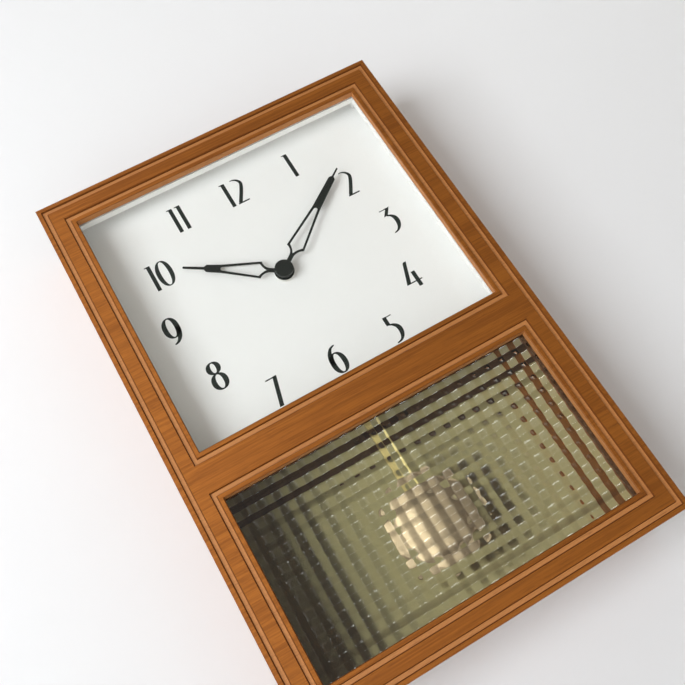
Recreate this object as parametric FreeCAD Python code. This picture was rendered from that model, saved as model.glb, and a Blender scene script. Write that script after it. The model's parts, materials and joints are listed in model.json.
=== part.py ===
"""Wall clock with a pendulum, as separate pieces, one STEP file for each.

Millimetres. +Z is up, the dial faces -Y, and the clock's back lies on the plane y = 0.
The origin is the centre of the keyhole's round hole in the hanger plate, on that plane.
"""
import FreeCAD, Part
import math
import os
from FreeCAD import Vector

# ---------------------------------------------------------------- driving dimensions

# Case
WIDTH = 250.0
HEIGHT = 370.0
DEPTH = 65.0
HANGER_DROP = 30.0          # from the case's top down to the hanging hole
BOARD = 10.0                # case boards
FRONT_BOARD = 12.0          # routed front board
RAIL = 20.8                 # width of the front's stiles, top rail and bottom rail
MID_RAIL = 31.4
DIAL_WINDOW_HEIGHT = 180.0
EDGE_CHAMFER = 0.5
BACK_BOARD = 4.0
BACK_RABBET = 6.0

# Routed grooves in the front, with a flat floor and steep walls
GROOVE_HALF_WIDTH = 1.85
GROOVE_FLOOR_HALF = 1.2
GROOVE_DEPTH = 1.4
GROOVE_INSET = 4.6          # groove centre to the outer edge or to a window's edge

# Glazing
REVEAL = 5.3                # front face to glass
GLASS_RABBET = 4.0
GLASS_GAP = 0.5             # round the edge of a pane
DIAL_GLASS = 3.0
CHECKER_GLASS = 4.0

# Dial and its white surround
DIAL_DEPTH = 25.0           # front face to dial
DIAL_PLATE = 2.0
DIAL_DROP = 111.0           # case top to the dial's centre
SURROUND_OUTSET = 10.0      # surround's outer face outside the window's edge
SURROUND_WALL = 1.8
SURROUND_FLANGE = 1.5
SURROUND_SET_BACK = 0.4     # flange's inner edge behind the wood's edge
DIAL_SCREW_OUTSET = 5.8     # corner screws outside the window's edges

# Hands
HOUR_HAND_LENGTH = 68.0
MINUTE_HAND_LENGTH = 86.7
HOUR_HAND_ANGLE = 302.0     # clockwise from 12, at rest
MINUTE_HAND_ANGLE = 53.7
HAND_SHEET = 0.5
HAND_NECK_HALF = 1.5
HAND_STROKE = 1.5           # width of the metal round a hand's window

# Keyhole hanger
HANGER_R = 4.5
HANGER_SLOT_HALF = 2.4
HANGER_SLOT_TOP = 9.0
HANGER_THICK = 1.5
HANGER_HALF_W = 27.0
HANGER_LOW_Z = -9.0
HANGER_HIGH_Z = 15.0
HANGER_CORNER_R = 3.0

# Countersunk screws: head radius, shank radius, length
HANGER_SCREW = (3.4, 1.6, 12.5)
BACK_SCREW = (2.7, 1.25, 14.0)
DIAL_SCREW = (2.8, 1.5, 21.0)

# Movement
SHELL_HALF_WIDTH = 30.0
SHELL_TOP = 28.0            # above the dial's centre
SHELL_BOTTOM = -82.0
SHELL_WALL = 1.5
SHELL_DEPTH = 18.0
SHELL_SPLIT = 4.0           # depth of the front shell
GASKET = 1.0
GASKET_R = 10.0
WASHER_R = 6.2
BUSH_FLANGE_R = 6.0
BUSH_FLANGE = 0.8
BUSH_GAP = 0.2              # dial, gasket and washer round the bush
RUNNING_GAP = 0.05
SNUG_GAP = 0.03
CORNER_BOSS_R = 2.3
CORNER_SCREW_R = 0.9
CORNER_SCREW_HEAD_R = 1.9
CORNER_SCREW_HEAD = 1.2
PLATE_POST_R = 1.6
PLATE_PEG_R = 0.8
LEVER_SLOT_HALF = 11.0
KNOB_R = 6.0
PRESSURE_ANGLE = 20.0

# Pendulum
PIVOT_DROP = 42.0           # dial centre to the swing pin
LEVER_FOOT_DROP = 89.0      # dial centre to the rod's hook
BOB_CENTRE_DROP = 300.0     # case top to the bob's centre
BOB_RADIUS = 28.0
BOB_SHEET = 0.6
ROD_WIDTH = 5.0
ROD_THICK = 1.2

# ---------------------------------------------------------------- derived places

TOP_Z = HANGER_DROP
BOTTOM_Z = TOP_Z - HEIGHT
HALF_W = WIDTH / 2
FRONT_Y = -DEPTH
CASE_FRONT_Y = FRONT_Y + FRONT_BOARD
INNER_HALF_W = HALF_W - BOARD
INNER_TOP_Z = TOP_Z - BOARD
INNER_BOTTOM_Z = BOTTOM_Z + BOARD
WINDOW_HALF_W = HALF_W - RAIL
DIAL_WINDOW = (TOP_Z - RAIL - DIAL_WINDOW_HEIGHT, TOP_Z - RAIL)
LOW_WINDOW = (BOTTOM_Z + RAIL, DIAL_WINDOW[0] - MID_RAIL)
GLASS_Y = FRONT_Y + REVEAL
DIAL_GLASS_BACK_Y = GLASS_Y + DIAL_GLASS
CHECKER_BACK_Y = GLASS_Y + CHECKER_GLASS
DIAL_Y = FRONT_Y + DIAL_DEPTH
DIAL_BACK_Y = DIAL_Y + DIAL_PLATE
DIAL_Z = TOP_Z - DIAL_DROP
BOB_Z = TOP_Z - BOB_CENTRE_DROP
RAIL_BOTTOM_Z = -20.0       # hanging rail's lower edge, where the back panel starts
BACK_HALF_W = INNER_HALF_W + BACK_RABBET
BACK_BOTTOM_Z = INNER_BOTTOM_Z - BACK_RABBET

SHELL_FRONT_Y = DIAL_BACK_Y + GASKET
SHELL_SPLIT_Y = SHELL_FRONT_Y + SHELL_SPLIT
SHELL_BACK_Y = SHELL_FRONT_Y + SHELL_DEPTH
INSIDE_FRONT_Y = SHELL_FRONT_Y + SHELL_WALL
INSIDE_BACK_Y = SHELL_BACK_Y - SHELL_WALL

# ---------------------------------------------------------------- wheels of the movement

# Thin layers, from the dial backwards: (front face, back face)
HOUR_LAYER = (-35.0, -33.9)
MINUTE_LAYER = (-33.4, -32.3)
PLATE_LAYER = (-31.7, -30.5)
CENTRE_LAYER = (-29.9, -28.9)
THIRD_LAYER = (-28.2, -27.2)
FOURTH_LAYER = (-26.5, -25.5)
INTERMEDIATE_LAYER = (-24.8, -23.8)
BOSS_TIP_Y = -22.3

# Arbors, from the dial's centre: (right, up)
MOTION_DISTANCE = 12.0
THIRD_DISTANCE = 10.8
FOURTH_DISTANCE = 11.2
ROTOR_DISTANCE = 8.4


def polar(centre, distance, degrees):
    """A point at a distance and direction (anticlockwise from the right) from a centre."""
    angle = math.radians(degrees)
    return (centre[0] + distance * math.cos(angle), centre[1] + distance * math.sin(angle))


CENTRE = (0.0, 0.0)
MINUTE_ARBOR = polar(CENTRE, MOTION_DISTANCE, -50.0)
THIRD_ARBOR = polar(CENTRE, THIRD_DISTANCE, 135.0)
INTERMEDIATE_ARBOR = polar(CENTRE, FOURTH_DISTANCE, 15.0)
ROTOR_ARBOR = polar(INTERMEDIATE_ARBOR, ROTOR_DISTANCE, 80.0)

ARBOR_R = 0.6
PIVOT_R = 0.3
MINUTE_ARBOR_R = 0.8
CANNON_R = 1.6
HOUR_PIPE_R = 2.75
BUSH_R = 4.0
CENTRE_SPIGOT_R = 0.9
CENTRE_HUB_R = 1.95
FOURTH_TIP_R = 0.45

# Stack of parts in front of the dial, as y coordinates
WASHER_FRONT_Y = DIAL_Y - 0.8
NUT_FRONT_Y = WASHER_FRONT_Y - 2.2
BUSH_END_Y = NUT_FRONT_Y - 0.2
HOUR_BOSS_Y = (BUSH_END_Y - 1.3, BUSH_END_Y - 0.4)
HOUR_PIPE_END_Y = HOUR_BOSS_Y[0] - 0.2
MINUTE_BOSS_Y = (HOUR_PIPE_END_Y - 1.4, HOUR_PIPE_END_Y - 0.4)
CANNON_END_Y = MINUTE_BOSS_Y[0] - 0.8
CAP_Y = (MINUTE_BOSS_Y[0] - 2.55, MINUTE_BOSS_Y[0] - 0.05)

# Battery bay and pendulum drive, from the dial's centre
BATTERY_DROP = 29.0
BATTERY_R = 7.1
BATTERY_HALF_LENGTH = 24.6
BATTERY_BUTTON = 1.3
CONTACT_SHEET = 0.4
CONTACT_HALF = 3.0
BATTERY_Y = -27.4
BAY_HALF_HEIGHT = 7.6
BAY_WALL = 1.2
MAGNET_DROP = 64.0
MAGNET_R = 5.0
LEVER_Y = (-34.6, -31.6)
KNOB_Y = (SHELL_BACK_Y + 0.4, SHELL_BACK_Y + 5.0)
PIN_R = 1.0
ROD_Y = (-33.7, -33.7 + ROD_THICK)

# Flat outlines inside the movement: left, right, bottom, top from the dial's centre
TRAIN_PLATE = (-10.8, 21.8, -13.5, 16.2)
CIRCUIT_BOARD = (-28.0, -12.0, -14.0, 20.0)
CHIP = (-22.5, -17.5, -6.0, -1.0)
CORE_OUTER = (6.8, 23.4, 5.8, 24.0)
CORE_WINDOW = (9.6, 20.8, 16.5, 22.0)
MOTOR_COIL = (10.4, 20.0, 20.1, 25.9)

# Electrical parts, as y coordinates and radii
BOARD_Y = (-34.6, -33.8)
CORE_Y = (-28.6, -27.6)
MOTOR_COIL_Y = (-30.2, -26.0)
ROTOR_MAGNET_R = 3.0
ROTOR_MAGNET_Y = (-29.6, -26.4)
DRIVE_COIL_Y = (-30.4, -24.4)
COIL_POST_R = 2.9

# ---------------------------------------------------------------- shape helpers

def box(x0, x1, y0, y1, z0, z1):
    return Part.makeBox(x1 - x0, y1 - y0, z1 - z0, Vector(x0, y0, z0))


def rod_y(x, z, radius, y0, y1):
    """A cylinder along Y."""
    return Part.makeCylinder(radius, y1 - y0, Vector(x, y0, z), Vector(0, 1, 0))


def tube_y(x, z, outer, inner, y0, y1):
    return rod_y(x, z, outer, y0, y1).cut(rod_y(x, z, inner, y0, y1))


def at_dial(point):
    """Place of a point given from the dial's centre."""
    return point[0], DIAL_Z + point[1]


def prism_y(outline, y0, y1):
    """A flat outline of (x, z) points, given thickness along Y."""
    points = [Vector(x, y0, z) for x, z in outline]
    face = Part.Face(Part.makePolygon(points + points[:1]))
    return face.extrude(Vector(0, y1 - y0, 0))


def rounded_box(x0, x1, y0, y1, z0, z1, radius):
    """A box whose edges along Y are rounded."""
    solid = box(x0, x1, y0, y1, z0, z1)
    edges = [edge for edge in solid.Edges if abs(edge.tangentAt(0).y) > 0.5]
    return solid.makeFillet(radius, edges)


def fuse_all(shapes):
    whole = shapes[0]
    for shape in shapes[1:]:
        whole = whole.fuse(shape)
    return whole.removeSplitter()


def cut_all(shape, tools):
    for tool in tools:
        shape = shape.cut(tool)
    return shape


def spin(profile, x, z):
    """Turns a profile of (radius, y) corners round the Y direction through (x, z)."""
    points = [Vector(x + radius, y, z) for radius, y in profile]
    face = Part.Face(Part.makePolygon(points + points[:1]))
    return face.revolve(Vector(x, 0, z), Vector(0, 1, 0), 360)


# ---------------------------------------------------------------- gears

def involute(angle):
    return math.tan(angle) - angle


class Gear:
    """Teeth of one wheel: involute flanks, thinned for play, and no addendum beyond its need."""

    def __init__(self, teeth, distance, mate_teeth):
        self.teeth = teeth
        self.module = 2 * distance / (teeth + mate_teeth)
        small = teeth < mate_teeth
        self.thinning = 0.7 if small else 0.8
        self.addendum = 0.7 if small else 0.8
        self.dedendum = 1.25 if small else 1.15
        self.pitch_r = self.module * teeth / 2

    def half_tooth(self, radius):
        """Half a tooth's angle at a radius, in radians."""
        pressure = math.radians(PRESSURE_ANGLE)
        base_r = self.pitch_r * math.cos(pressure)
        here = math.acos(base_r / max(radius, base_r))
        return math.pi / 2 / self.teeth * self.thinning + involute(pressure) - involute(here)

    def radii(self):
        """Radii at which a flank has a point, from root to tip."""
        base_r = self.pitch_r * math.cos(math.radians(PRESSURE_ANGLE))
        root_r = self.pitch_r - self.dedendum * self.module
        tip_r = self.pitch_r + self.addendum * self.module
        start = max(root_r, base_r)
        steps = 3
        flank = [start + (tip_r - start) * i / steps for i in range(steps + 1)]
        return [root_r] + flank if root_r < base_r else flank

    def solid(self, place, layer, tooth_degrees):
        """The toothed disc, with the middle of one tooth at tooth_degrees."""
        radii = self.radii()
        outline = []
        for i in range(self.teeth):
            middle = math.radians(tooth_degrees) + 2 * math.pi * i / self.teeth
            side = [(r, middle - self.half_tooth(r)) for r in radii]
            side += [(r, middle + self.half_tooth(r)) for r in reversed(radii)]
            outline += [(place[0] + r * math.cos(a), place[1] + r * math.sin(a)) for r, a in side]
        return prism_y(outline, layer[0], layer[1])


def mesh_pair(teeth_a, place_a, teeth_b, place_b, layer):
    """Two wheels in mesh: a tooth of the first stands in a gap of the second."""
    dx = place_b[0] - place_a[0]
    dz = place_b[1] - place_a[1]
    distance = math.hypot(dx, dz)
    towards_b = math.degrees(math.atan2(dz, dx))
    half_pitch_b = 180.0 / teeth_b
    gear_a = Gear(teeth_a, distance, teeth_b)
    gear_b = Gear(teeth_b, distance, teeth_a)
    solid_a = gear_a.solid(at_dial(place_a), layer, towards_b)
    solid_b = gear_b.solid(at_dial(place_b), layer, towards_b + 180.0 + half_pitch_b)
    return solid_a, solid_b


def lighten(wheel, place, radius, hole_r, count, layer):
    """Round holes through a wheel's web."""
    for i in range(count):
        x, z = at_dial(polar(place, radius, 360.0 * i / count))
        wheel = wheel.cut(rod_y(x, z, hole_r, layer[0], layer[1]))
    return wheel


def arbor(place):
    """A wheel's arbor from the train plate to the back shell, with thin pivots."""
    x, z = at_dial(place)
    body = rod_y(x, z, ARBOR_R, PLATE_LAYER[1] + 0.1, BOSS_TIP_Y - 0.1)
    return body.fuse(rod_y(x, z, PIVOT_R, PLATE_LAYER[0] + 0.2, BOSS_TIP_Y + 1.2))


# ---------------------------------------------------------------- fasteners

def countersunk_screw(x, z, y_head, head_r, shank_r, length):
    """A countersunk screw driven towards -Y, its flat head at y_head, with a cross recess."""
    screw = screw_hole(x, z, y_head, head_r, shank_r, length)
    slot_half = head_r * 0.13
    slot_reach = head_r * 0.55
    slot_depth = (head_r - shank_r) * 0.5
    for half_x, half_z in ((slot_half, slot_reach), (slot_reach, slot_half)):
        slot = box(x - half_x, x + half_x, y_head - slot_depth, y_head, z - half_z, z + half_z)
        screw = screw.cut(slot)
    return screw


def screw_hole(x, z, y_head, head_r, shank_r, length):
    """The space that a countersunk screw fills: a 45 degree head, a shank and a pointed end."""
    profile = [
        (0, y_head),
        (head_r, y_head),
        (shank_r, y_head - head_r + shank_r),
        (shank_r, y_head - length + shank_r),
        (0, y_head - length),
    ]
    return spin(profile, x, z)


def hanger_screw_places():
    return [(-20.0, 3.0), (20.0, 3.0)]


def back_screw_places():
    side_x = INNER_HALF_W + BACK_RABBET / 2
    bottom_z = INNER_BOTTOM_Z - BACK_RABBET / 2
    sides = [(x, z) for x in (-side_x, side_x) for z in (-40.0, -130.0, -220.0, -310.0)]
    return sides + [(-60.0, bottom_z), (60.0, bottom_z)]


def dial_screw_places():
    """The four corners of the dial."""
    x = WINDOW_HALF_W + DIAL_SCREW_OUTSET
    heights = (DIAL_WINDOW[0] - DIAL_SCREW_OUTSET, DIAL_WINDOW[1] + DIAL_SCREW_OUTSET)
    return [(side * x, z) for side in (-1, 1) for z in heights]


def screw_group(places, y_head, size):
    return Part.makeCompound([countersunk_screw(x, z, y_head, *size) for x, z in places])


def screw_holes(places, y_head, size):
    return [screw_hole(x, z, y_head, *size) for x, z in places]


# ---------------------------------------------------------------- case

def rectangle_wire(half_w, low, high, y):
    corners = [(-half_w, low), (half_w, low), (half_w, high), (-half_w, high)]
    points = [Vector(x, y, z) for x, z in corners]
    return Part.makePolygon(points + points[:1])


def tapered_block(half_w, low, high, grow_front, grow_back, y0, y1):
    front = rectangle_wire(half_w + grow_front, low - grow_front, high + grow_front, y0)
    back = rectangle_wire(half_w + grow_back, low - grow_back, high + grow_back, y1)
    return Part.makeLoft([front, back], True, True)


def groove(half_w, low, high):
    """A flat-floored groove, mitred at its corners, whose centre line is the given rectangle."""
    proud = 0.5
    bottom_y = FRONT_Y + GROOVE_DEPTH
    slope = (GROOVE_HALF_WIDTH - GROOVE_FLOOR_HALF) / GROOVE_DEPTH
    spread = GROOVE_HALF_WIDTH + slope * proud
    outer = tapered_block(half_w, low, high, spread, GROOVE_FLOOR_HALF, FRONT_Y - proud, bottom_y)
    inner = tapered_block(half_w, low, high, -spread, -GROOVE_FLOOR_HALF, FRONT_Y - proud, bottom_y)
    return outer.cut(inner)


def front_panel():
    board = box(-HALF_W, HALF_W, FRONT_Y, CASE_FRONT_Y, BOTTOM_Z, TOP_Z)
    for low, high in (DIAL_WINDOW, LOW_WINDOW):
        board = board.cut(box(-WINDOW_HALF_W, WINDOW_HALF_W, FRONT_Y, CASE_FRONT_Y, low, high))
    front_edges = [e for e in board.Edges if all(abs(v.Y - FRONT_Y) < 0.01 for v in e.Vertexes)]
    board = board.makeChamfer(EDGE_CHAMFER, front_edges)
    rabbet_half = WINDOW_HALF_W + GLASS_RABBET
    for low, high in (DIAL_WINDOW, LOW_WINDOW):
        rabbet = box(-rabbet_half, rabbet_half, GLASS_Y, CASE_FRONT_Y,
                     low - GLASS_RABBET, high + GLASS_RABBET)
        board = board.cut(rabbet)
        board = board.cut(groove(WINDOW_HALF_W + GROOVE_INSET, low - GROOVE_INSET, high + GROOVE_INSET))
    board = board.cut(groove(HALF_W - GROOVE_INSET, BOTTOM_Z + GROOVE_INSET, TOP_Z - GROOVE_INSET))
    return cut_all(board, screw_holes(dial_screw_places(), DIAL_BACK_Y, DIAL_SCREW))


def case_board(outline):
    """One mitred board of the case, rabbeted for the back panel and bored for its screws."""
    board = prism_y(outline, CASE_FRONT_Y, 0)
    rabbet = box(-BACK_HALF_W, BACK_HALF_W, -BACK_BOARD, 0, BACK_BOTTOM_Z, RAIL_BOTTOM_Z)
    board = board.cut(rabbet)
    return cut_all(board, screw_holes(back_screw_places(), 0, BACK_SCREW))


def case_side(side):
    x_out = side * HALF_W
    x_in = side * INNER_HALF_W
    return case_board([(x_out, BOTTOM_Z), (x_out, TOP_Z), (x_in, INNER_TOP_Z), (x_in, INNER_BOTTOM_Z)])


def case_end(z_out, z_in):
    return case_board([(-HALF_W, z_out), (HALF_W, z_out), (INNER_HALF_W, z_in), (-INNER_HALF_W, z_in)])


def divider_shelf():
    """Board between the two windows, just above the checker glass's rabbet."""
    clear_of_rabbet = 0.6
    slot_half_w = 16.0
    slot_y = (-39.0, -27.0)
    low = LOW_WINDOW[1] + GLASS_RABBET + clear_of_rabbet
    shelf = box(-INNER_HALF_W, INNER_HALF_W, CASE_FRONT_Y, -BACK_BOARD, low, low + BOARD)
    rod_slot = box(-slot_half_w, slot_half_w, slot_y[0], slot_y[1], low, low + BOARD)
    return shelf.cut(rod_slot)


def access_opening():
    """The cut-out in the back panel, the same distance outside the movement on every side."""
    margin = 6.0
    corner_r = 6.0
    half_w = SHELL_HALF_WIDTH + margin
    low = DIAL_Z + SHELL_BOTTOM - margin
    high = DIAL_Z + SHELL_TOP + margin
    return rounded_box(-half_w, half_w, -BACK_BOARD, 0, low, high, corner_r)


def back_panel():
    panel = box(-BACK_HALF_W, BACK_HALF_W, -BACK_BOARD, 0, BACK_BOTTOM_Z, RAIL_BOTTOM_Z)
    panel = panel.cut(access_opening())
    return cut_all(panel, screw_holes(back_screw_places(), 0, BACK_SCREW))


def hanger_outline(gap):
    half_w = HANGER_HALF_W + gap
    return rounded_box(-half_w, half_w, -HANGER_THICK, 0, HANGER_LOW_Z - gap, HANGER_HIGH_Z + gap,
                       HANGER_CORNER_R + gap)


def hanger_plate():
    plate = hanger_outline(0)
    plate = plate.cut(rod_y(0, 0, HANGER_R, -HANGER_THICK, 0))
    plate = plate.cut(box(-HANGER_SLOT_HALF, HANGER_SLOT_HALF, -HANGER_THICK, 0, 0, HANGER_SLOT_TOP))
    plate = plate.cut(rod_y(0, HANGER_SLOT_TOP, HANGER_SLOT_HALF, -HANGER_THICK, 0))
    return cut_all(plate, screw_holes(hanger_screw_places(), 0, HANGER_SCREW))


def hanging_rail():
    """Rail with a recess for the hanger plate, and a pocket behind the keyhole for a screw's head."""
    rail_depth = 14.0
    recess_gap = 0.1
    pocket_depth = 10.0
    pocket_half_w = 6.5
    pocket_high_z = 13.0
    pocket_corner_r = 3.0
    rail = box(-INNER_HALF_W, INNER_HALF_W, -rail_depth, 0, RAIL_BOTTOM_Z, INNER_TOP_Z)
    rail = rail.cut(hanger_outline(recess_gap))
    rail = rail.cut(rounded_box(-pocket_half_w, pocket_half_w, -pocket_depth, 0,
                                -pocket_half_w, pocket_high_z, pocket_corner_r))
    return cut_all(rail, screw_holes(hanger_screw_places(), 0, HANGER_SCREW))


def glazing_bead(side):
    """One mitred strip of the frame that holds the checker glass: left, right, top or bottom."""
    inner_x = WINDOW_HALF_W
    outer_x = WINDOW_HALF_W + GLASS_RABBET
    low, high = LOW_WINDOW
    low_out = low - GLASS_RABBET
    high_out = high + GLASS_RABBET
    outlines = {
        "left": [(-outer_x, low_out), (-outer_x, high_out), (-inner_x, high), (-inner_x, low)],
        "right": [(outer_x, low_out), (outer_x, high_out), (inner_x, high), (inner_x, low)],
        "top": [(-outer_x, high_out), (outer_x, high_out), (inner_x, high), (-inner_x, high)],
        "bottom": [(-outer_x, low_out), (outer_x, low_out), (inner_x, low), (-inner_x, low)],
    }
    return prism_y(outlines[side], CHECKER_BACK_Y, CASE_FRONT_Y)


# ---------------------------------------------------------------- glass and dial

def pane(window, thickness):
    grow = GLASS_RABBET - GLASS_GAP
    half_w = WINDOW_HALF_W + grow
    return box(-half_w, half_w, GLASS_Y, GLASS_Y + thickness, window[0] - grow, window[1] + grow)


def around_dial_window(grow, y0, y1):
    """A block larger than the dial's window by the same amount on every side."""
    low, high = DIAL_WINDOW
    return box(-WINDOW_HALF_W - grow, WINDOW_HALF_W + grow, y0, y1, low - grow, high + grow)


def dial_surround():
    """White tray rim: a nose that presses the glass, a flange, thin walls and four screw posts."""
    flange_back_y = CASE_FRONT_Y + SURROUND_FLANGE
    frame = around_dial_window(GLASS_RABBET - GLASS_GAP, DIAL_GLASS_BACK_Y, CASE_FRONT_Y)
    frame = frame.fuse(around_dial_window(SURROUND_OUTSET, CASE_FRONT_Y, DIAL_Y))
    frame = frame.cut(around_dial_window(SURROUND_SET_BACK, DIAL_GLASS_BACK_Y, DIAL_Y))
    frame = frame.cut(around_dial_window(SURROUND_OUTSET - SURROUND_WALL, flange_back_y, DIAL_Y))
    post_r = 3.4
    for x, z in dial_screw_places():
        frame = frame.fuse(rod_y(x, z, post_r, flange_back_y, DIAL_Y))
    frame = frame.removeSplitter()
    return cut_all(frame, screw_holes(dial_screw_places(), DIAL_BACK_Y, DIAL_SCREW))


def dial_plate():
    inset = 0.7
    edge = SURROUND_OUTSET - inset
    plate = box(-WINDOW_HALF_W - edge, WINDOW_HALF_W + edge, DIAL_Y, DIAL_BACK_Y,
                DIAL_WINDOW[0] - edge, DIAL_WINDOW[1] + edge)
    plate = plate.cut(rod_y(0, DIAL_Z, BUSH_R + BUSH_GAP, DIAL_Y, DIAL_BACK_Y))
    return cut_all(plate, screw_holes(dial_screw_places(), DIAL_BACK_Y, DIAL_SCREW))


# ---------------------------------------------------------------- hands

class Lance:
    """Outline sizes of a skeleton lance hand that points up, from its centre."""

    def __init__(self, length, corner, bar, shoulder, needle_half, hub_r, bore_r):
        self.length = length
        self.corner = corner            # (distance, half width) of the widest place
        self.bar = bar                  # where the window ends and the solid bar starts
        self.shoulder = shoulder        # where the bar ends
        self.needle_half = needle_half
        self.hub_r = hub_r
        self.bore_r = bore_r


HOUR_LANCE = Lance(length=HOUR_HAND_LENGTH, corner=(15.4, 6.2), bar=(42.6, 2.9),
                   shoulder=(52.0, 2.6), needle_half=0.9, hub_r=6.75, bore_r=HOUR_PIPE_R)
MINUTE_LANCE = Lance(length=MINUTE_HAND_LENGTH, corner=(17.8, 6.3), bar=(51.6, 2.9),
                     shoulder=(77.6, 2.3), needle_half=0.65, hub_r=5.9, bore_r=CANNON_R)


NECK_SHARE = 0.62           # of the way to the widest place, where the neck starts to flare
BELLY_SHARE = (0.85, 0.46)  # middle of the flaring arc, as shares of the widest place


def lance_blade(hand, y0, y1):
    """The blade's outer shape: flaring arcs, straight sides, a chamfered shoulder and a needle."""
    neck_at = hand.corner[0] * NECK_SHARE
    belly = (hand.corner[0] * BELLY_SHARE[0], hand.corner[1] * BELLY_SHARE[1])
    chamfer = 1.7
    taper = 0.85
    edges = []
    for side in (1, -1):
        def point(along, across):
            return Vector(side * across, y0, along)
        start = point(0, HAND_NECK_HALF)
        neck = point(neck_at, HAND_NECK_HALF)
        corner = point(hand.corner[0], hand.corner[1])
        bar = point(hand.bar[0], hand.bar[1])
        shoulder = point(hand.shoulder[0], hand.shoulder[1])
        needle = point(hand.shoulder[0] + chamfer, hand.needle_half)
        tip = point(hand.length - hand.needle_half, hand.needle_half * taper)
        edges.append(Part.makeLine(start, neck))
        edges.append(Part.Arc(neck, point(*belly), corner).toShape())
        for a, b in ((corner, bar), (bar, shoulder), (shoulder, needle), (needle, tip)):
            edges.append(Part.makeLine(a, b))
    tip_half = hand.needle_half * taper
    tip_at = hand.length - hand.needle_half
    edges.append(Part.Arc(Vector(tip_half, y0, tip_at), Vector(0, y0, hand.length),
                          Vector(-tip_half, y0, tip_at)).toShape())
    edges.append(Part.makeLine(Vector(HAND_NECK_HALF, y0, 0), Vector(-HAND_NECK_HALF, y0, 0)))
    wire = Part.Wire(Part.__sortEdges__(edges))
    return Part.Face(wire).extrude(Vector(0, y1 - y0, 0))


def lance_window(hand, y0, y1):
    """The opening inside the blade, one stroke in from its outline."""
    root = hand.corner[0] * NECK_SHARE + HAND_STROKE * 1.4
    inner_corner = (hand.corner[0] + HAND_STROKE * 0.85, hand.corner[1] - HAND_STROKE * 1.05)
    belly = (hand.corner[0] * BELLY_SHARE[0] + HAND_STROKE,
             hand.corner[1] * BELLY_SHARE[1] - HAND_STROKE * 0.45)
    end_half = hand.bar[1] - HAND_STROKE
    end_at = hand.bar[0] - end_half
    edges = []
    for side in (1, -1):
        base = Vector(0, y0, root)
        corner = Vector(side * inner_corner[1], y0, inner_corner[0])
        edges.append(Part.Arc(base, Vector(side * belly[1], y0, belly[0]), corner).toShape())
        edges.append(Part.makeLine(corner, Vector(side * end_half, y0, end_at)))
    edges.append(Part.Arc(Vector(end_half, y0, end_at), Vector(0, y0, hand.bar[0]),
                          Vector(-end_half, y0, end_at)).toShape())
    wire = Part.Wire(Part.__sortEdges__(edges))
    return Part.Face(wire).extrude(Vector(0, y1 - y0, 0))


def clock_hand(hand, boss_y, angle):
    """A hand of thin sheet on a thicker hub, turned to its place at rest."""
    blade_y = (boss_y[0], boss_y[0] + HAND_SHEET)
    blade = lance_blade(hand, blade_y[0], blade_y[1])
    blade = blade.cut(lance_window(hand, blade_y[0], blade_y[1]))
    whole = blade.fuse(rod_y(0, 0, hand.hub_r, boss_y[0], boss_y[1]))
    whole = whole.cut(rod_y(0, 0, hand.bore_r + SNUG_GAP, boss_y[0], boss_y[1]))
    whole = whole.removeSplitter()
    whole.rotate(Vector(0, 0, 0), Vector(0, 1, 0), angle)
    whole.translate(Vector(0, 0, DIAL_Z))
    return whole


def hand_cap():
    cap_r = 6.25
    bevel = 0.35
    bore_r = CANNON_R + SNUG_GAP
    bore_end = CANNON_END_Y - 0.1
    profile = [
        (0, CAP_Y[0]),
        (cap_r - bevel, CAP_Y[0]),
        (cap_r, CAP_Y[0] + bevel),
        (cap_r, CAP_Y[1]),
        (bore_r, CAP_Y[1]),
        (bore_r, bore_end),
        (0, bore_end),
    ]
    return spin(profile, 0, DIAL_Z)


# ---------------------------------------------------------------- movement fixing

def centre_bush():
    """Threaded tube: its flange sits inside the front shell, its nose passes the dial."""
    groove_depth = 0.3
    pitch = 0.75
    profile = [(HOUR_PIPE_R + RUNNING_GAP, INSIDE_FRONT_Y)]
    profile += [(BUSH_FLANGE_R, INSIDE_FRONT_Y), (BUSH_FLANGE_R, INSIDE_FRONT_Y - BUSH_FLANGE)]
    profile += [(BUSH_R, INSIDE_FRONT_Y - BUSH_FLANGE)]
    y = DIAL_BACK_Y
    while y - pitch > BUSH_END_Y:
        profile += [(BUSH_R, y), (BUSH_R - groove_depth, y - pitch / 2)]
        y -= pitch
    profile += [(BUSH_R, y), (BUSH_R - groove_depth, BUSH_END_Y)]
    profile += [(HOUR_PIPE_R + RUNNING_GAP, BUSH_END_Y)]
    return spin(profile, 0, DIAL_Z)


def gasket():
    return tube_y(0, DIAL_Z, GASKET_R, BUSH_R + BUSH_GAP, DIAL_BACK_Y, SHELL_FRONT_Y)


def dial_washer():
    return tube_y(0, DIAL_Z, WASHER_R, BUSH_R + BUSH_GAP, WASHER_FRONT_Y, DIAL_Y)


def hex_nut():
    across_flats = 11.0
    bevel = 0.5
    corner_r = across_flats / math.sqrt(3)
    outline = [polar((0, DIAL_Z), corner_r, 60 * i) for i in range(6)]
    nut = prism_y(outline, NUT_FRONT_Y, WASHER_FRONT_Y)
    rounding = spin([(0, NUT_FRONT_Y), (across_flats / 2, NUT_FRONT_Y), (corner_r, NUT_FRONT_Y + bevel),
                     (corner_r, WASHER_FRONT_Y), (0, WASHER_FRONT_Y)], 0, DIAL_Z)
    nut = nut.common(rounding)
    return nut.cut(rod_y(0, DIAL_Z, BUSH_R + SNUG_GAP, NUT_FRONT_Y, WASHER_FRONT_Y))


# ---------------------------------------------------------------- movement shells

def corner_screw_places():
    return [at_dial((x, z)) for x in (-26.0, 26.0) for z in (24.0, -78.0)]


def plate_post_places():
    """Middles of the train plate's four pegs, just inside its corners."""
    left, right, bottom, top = TRAIN_PLATE
    inset = 2.2
    return [at_dial((x, z)) for x in (left + inset, right - inset) for z in (bottom + inset, top - inset)]


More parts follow.
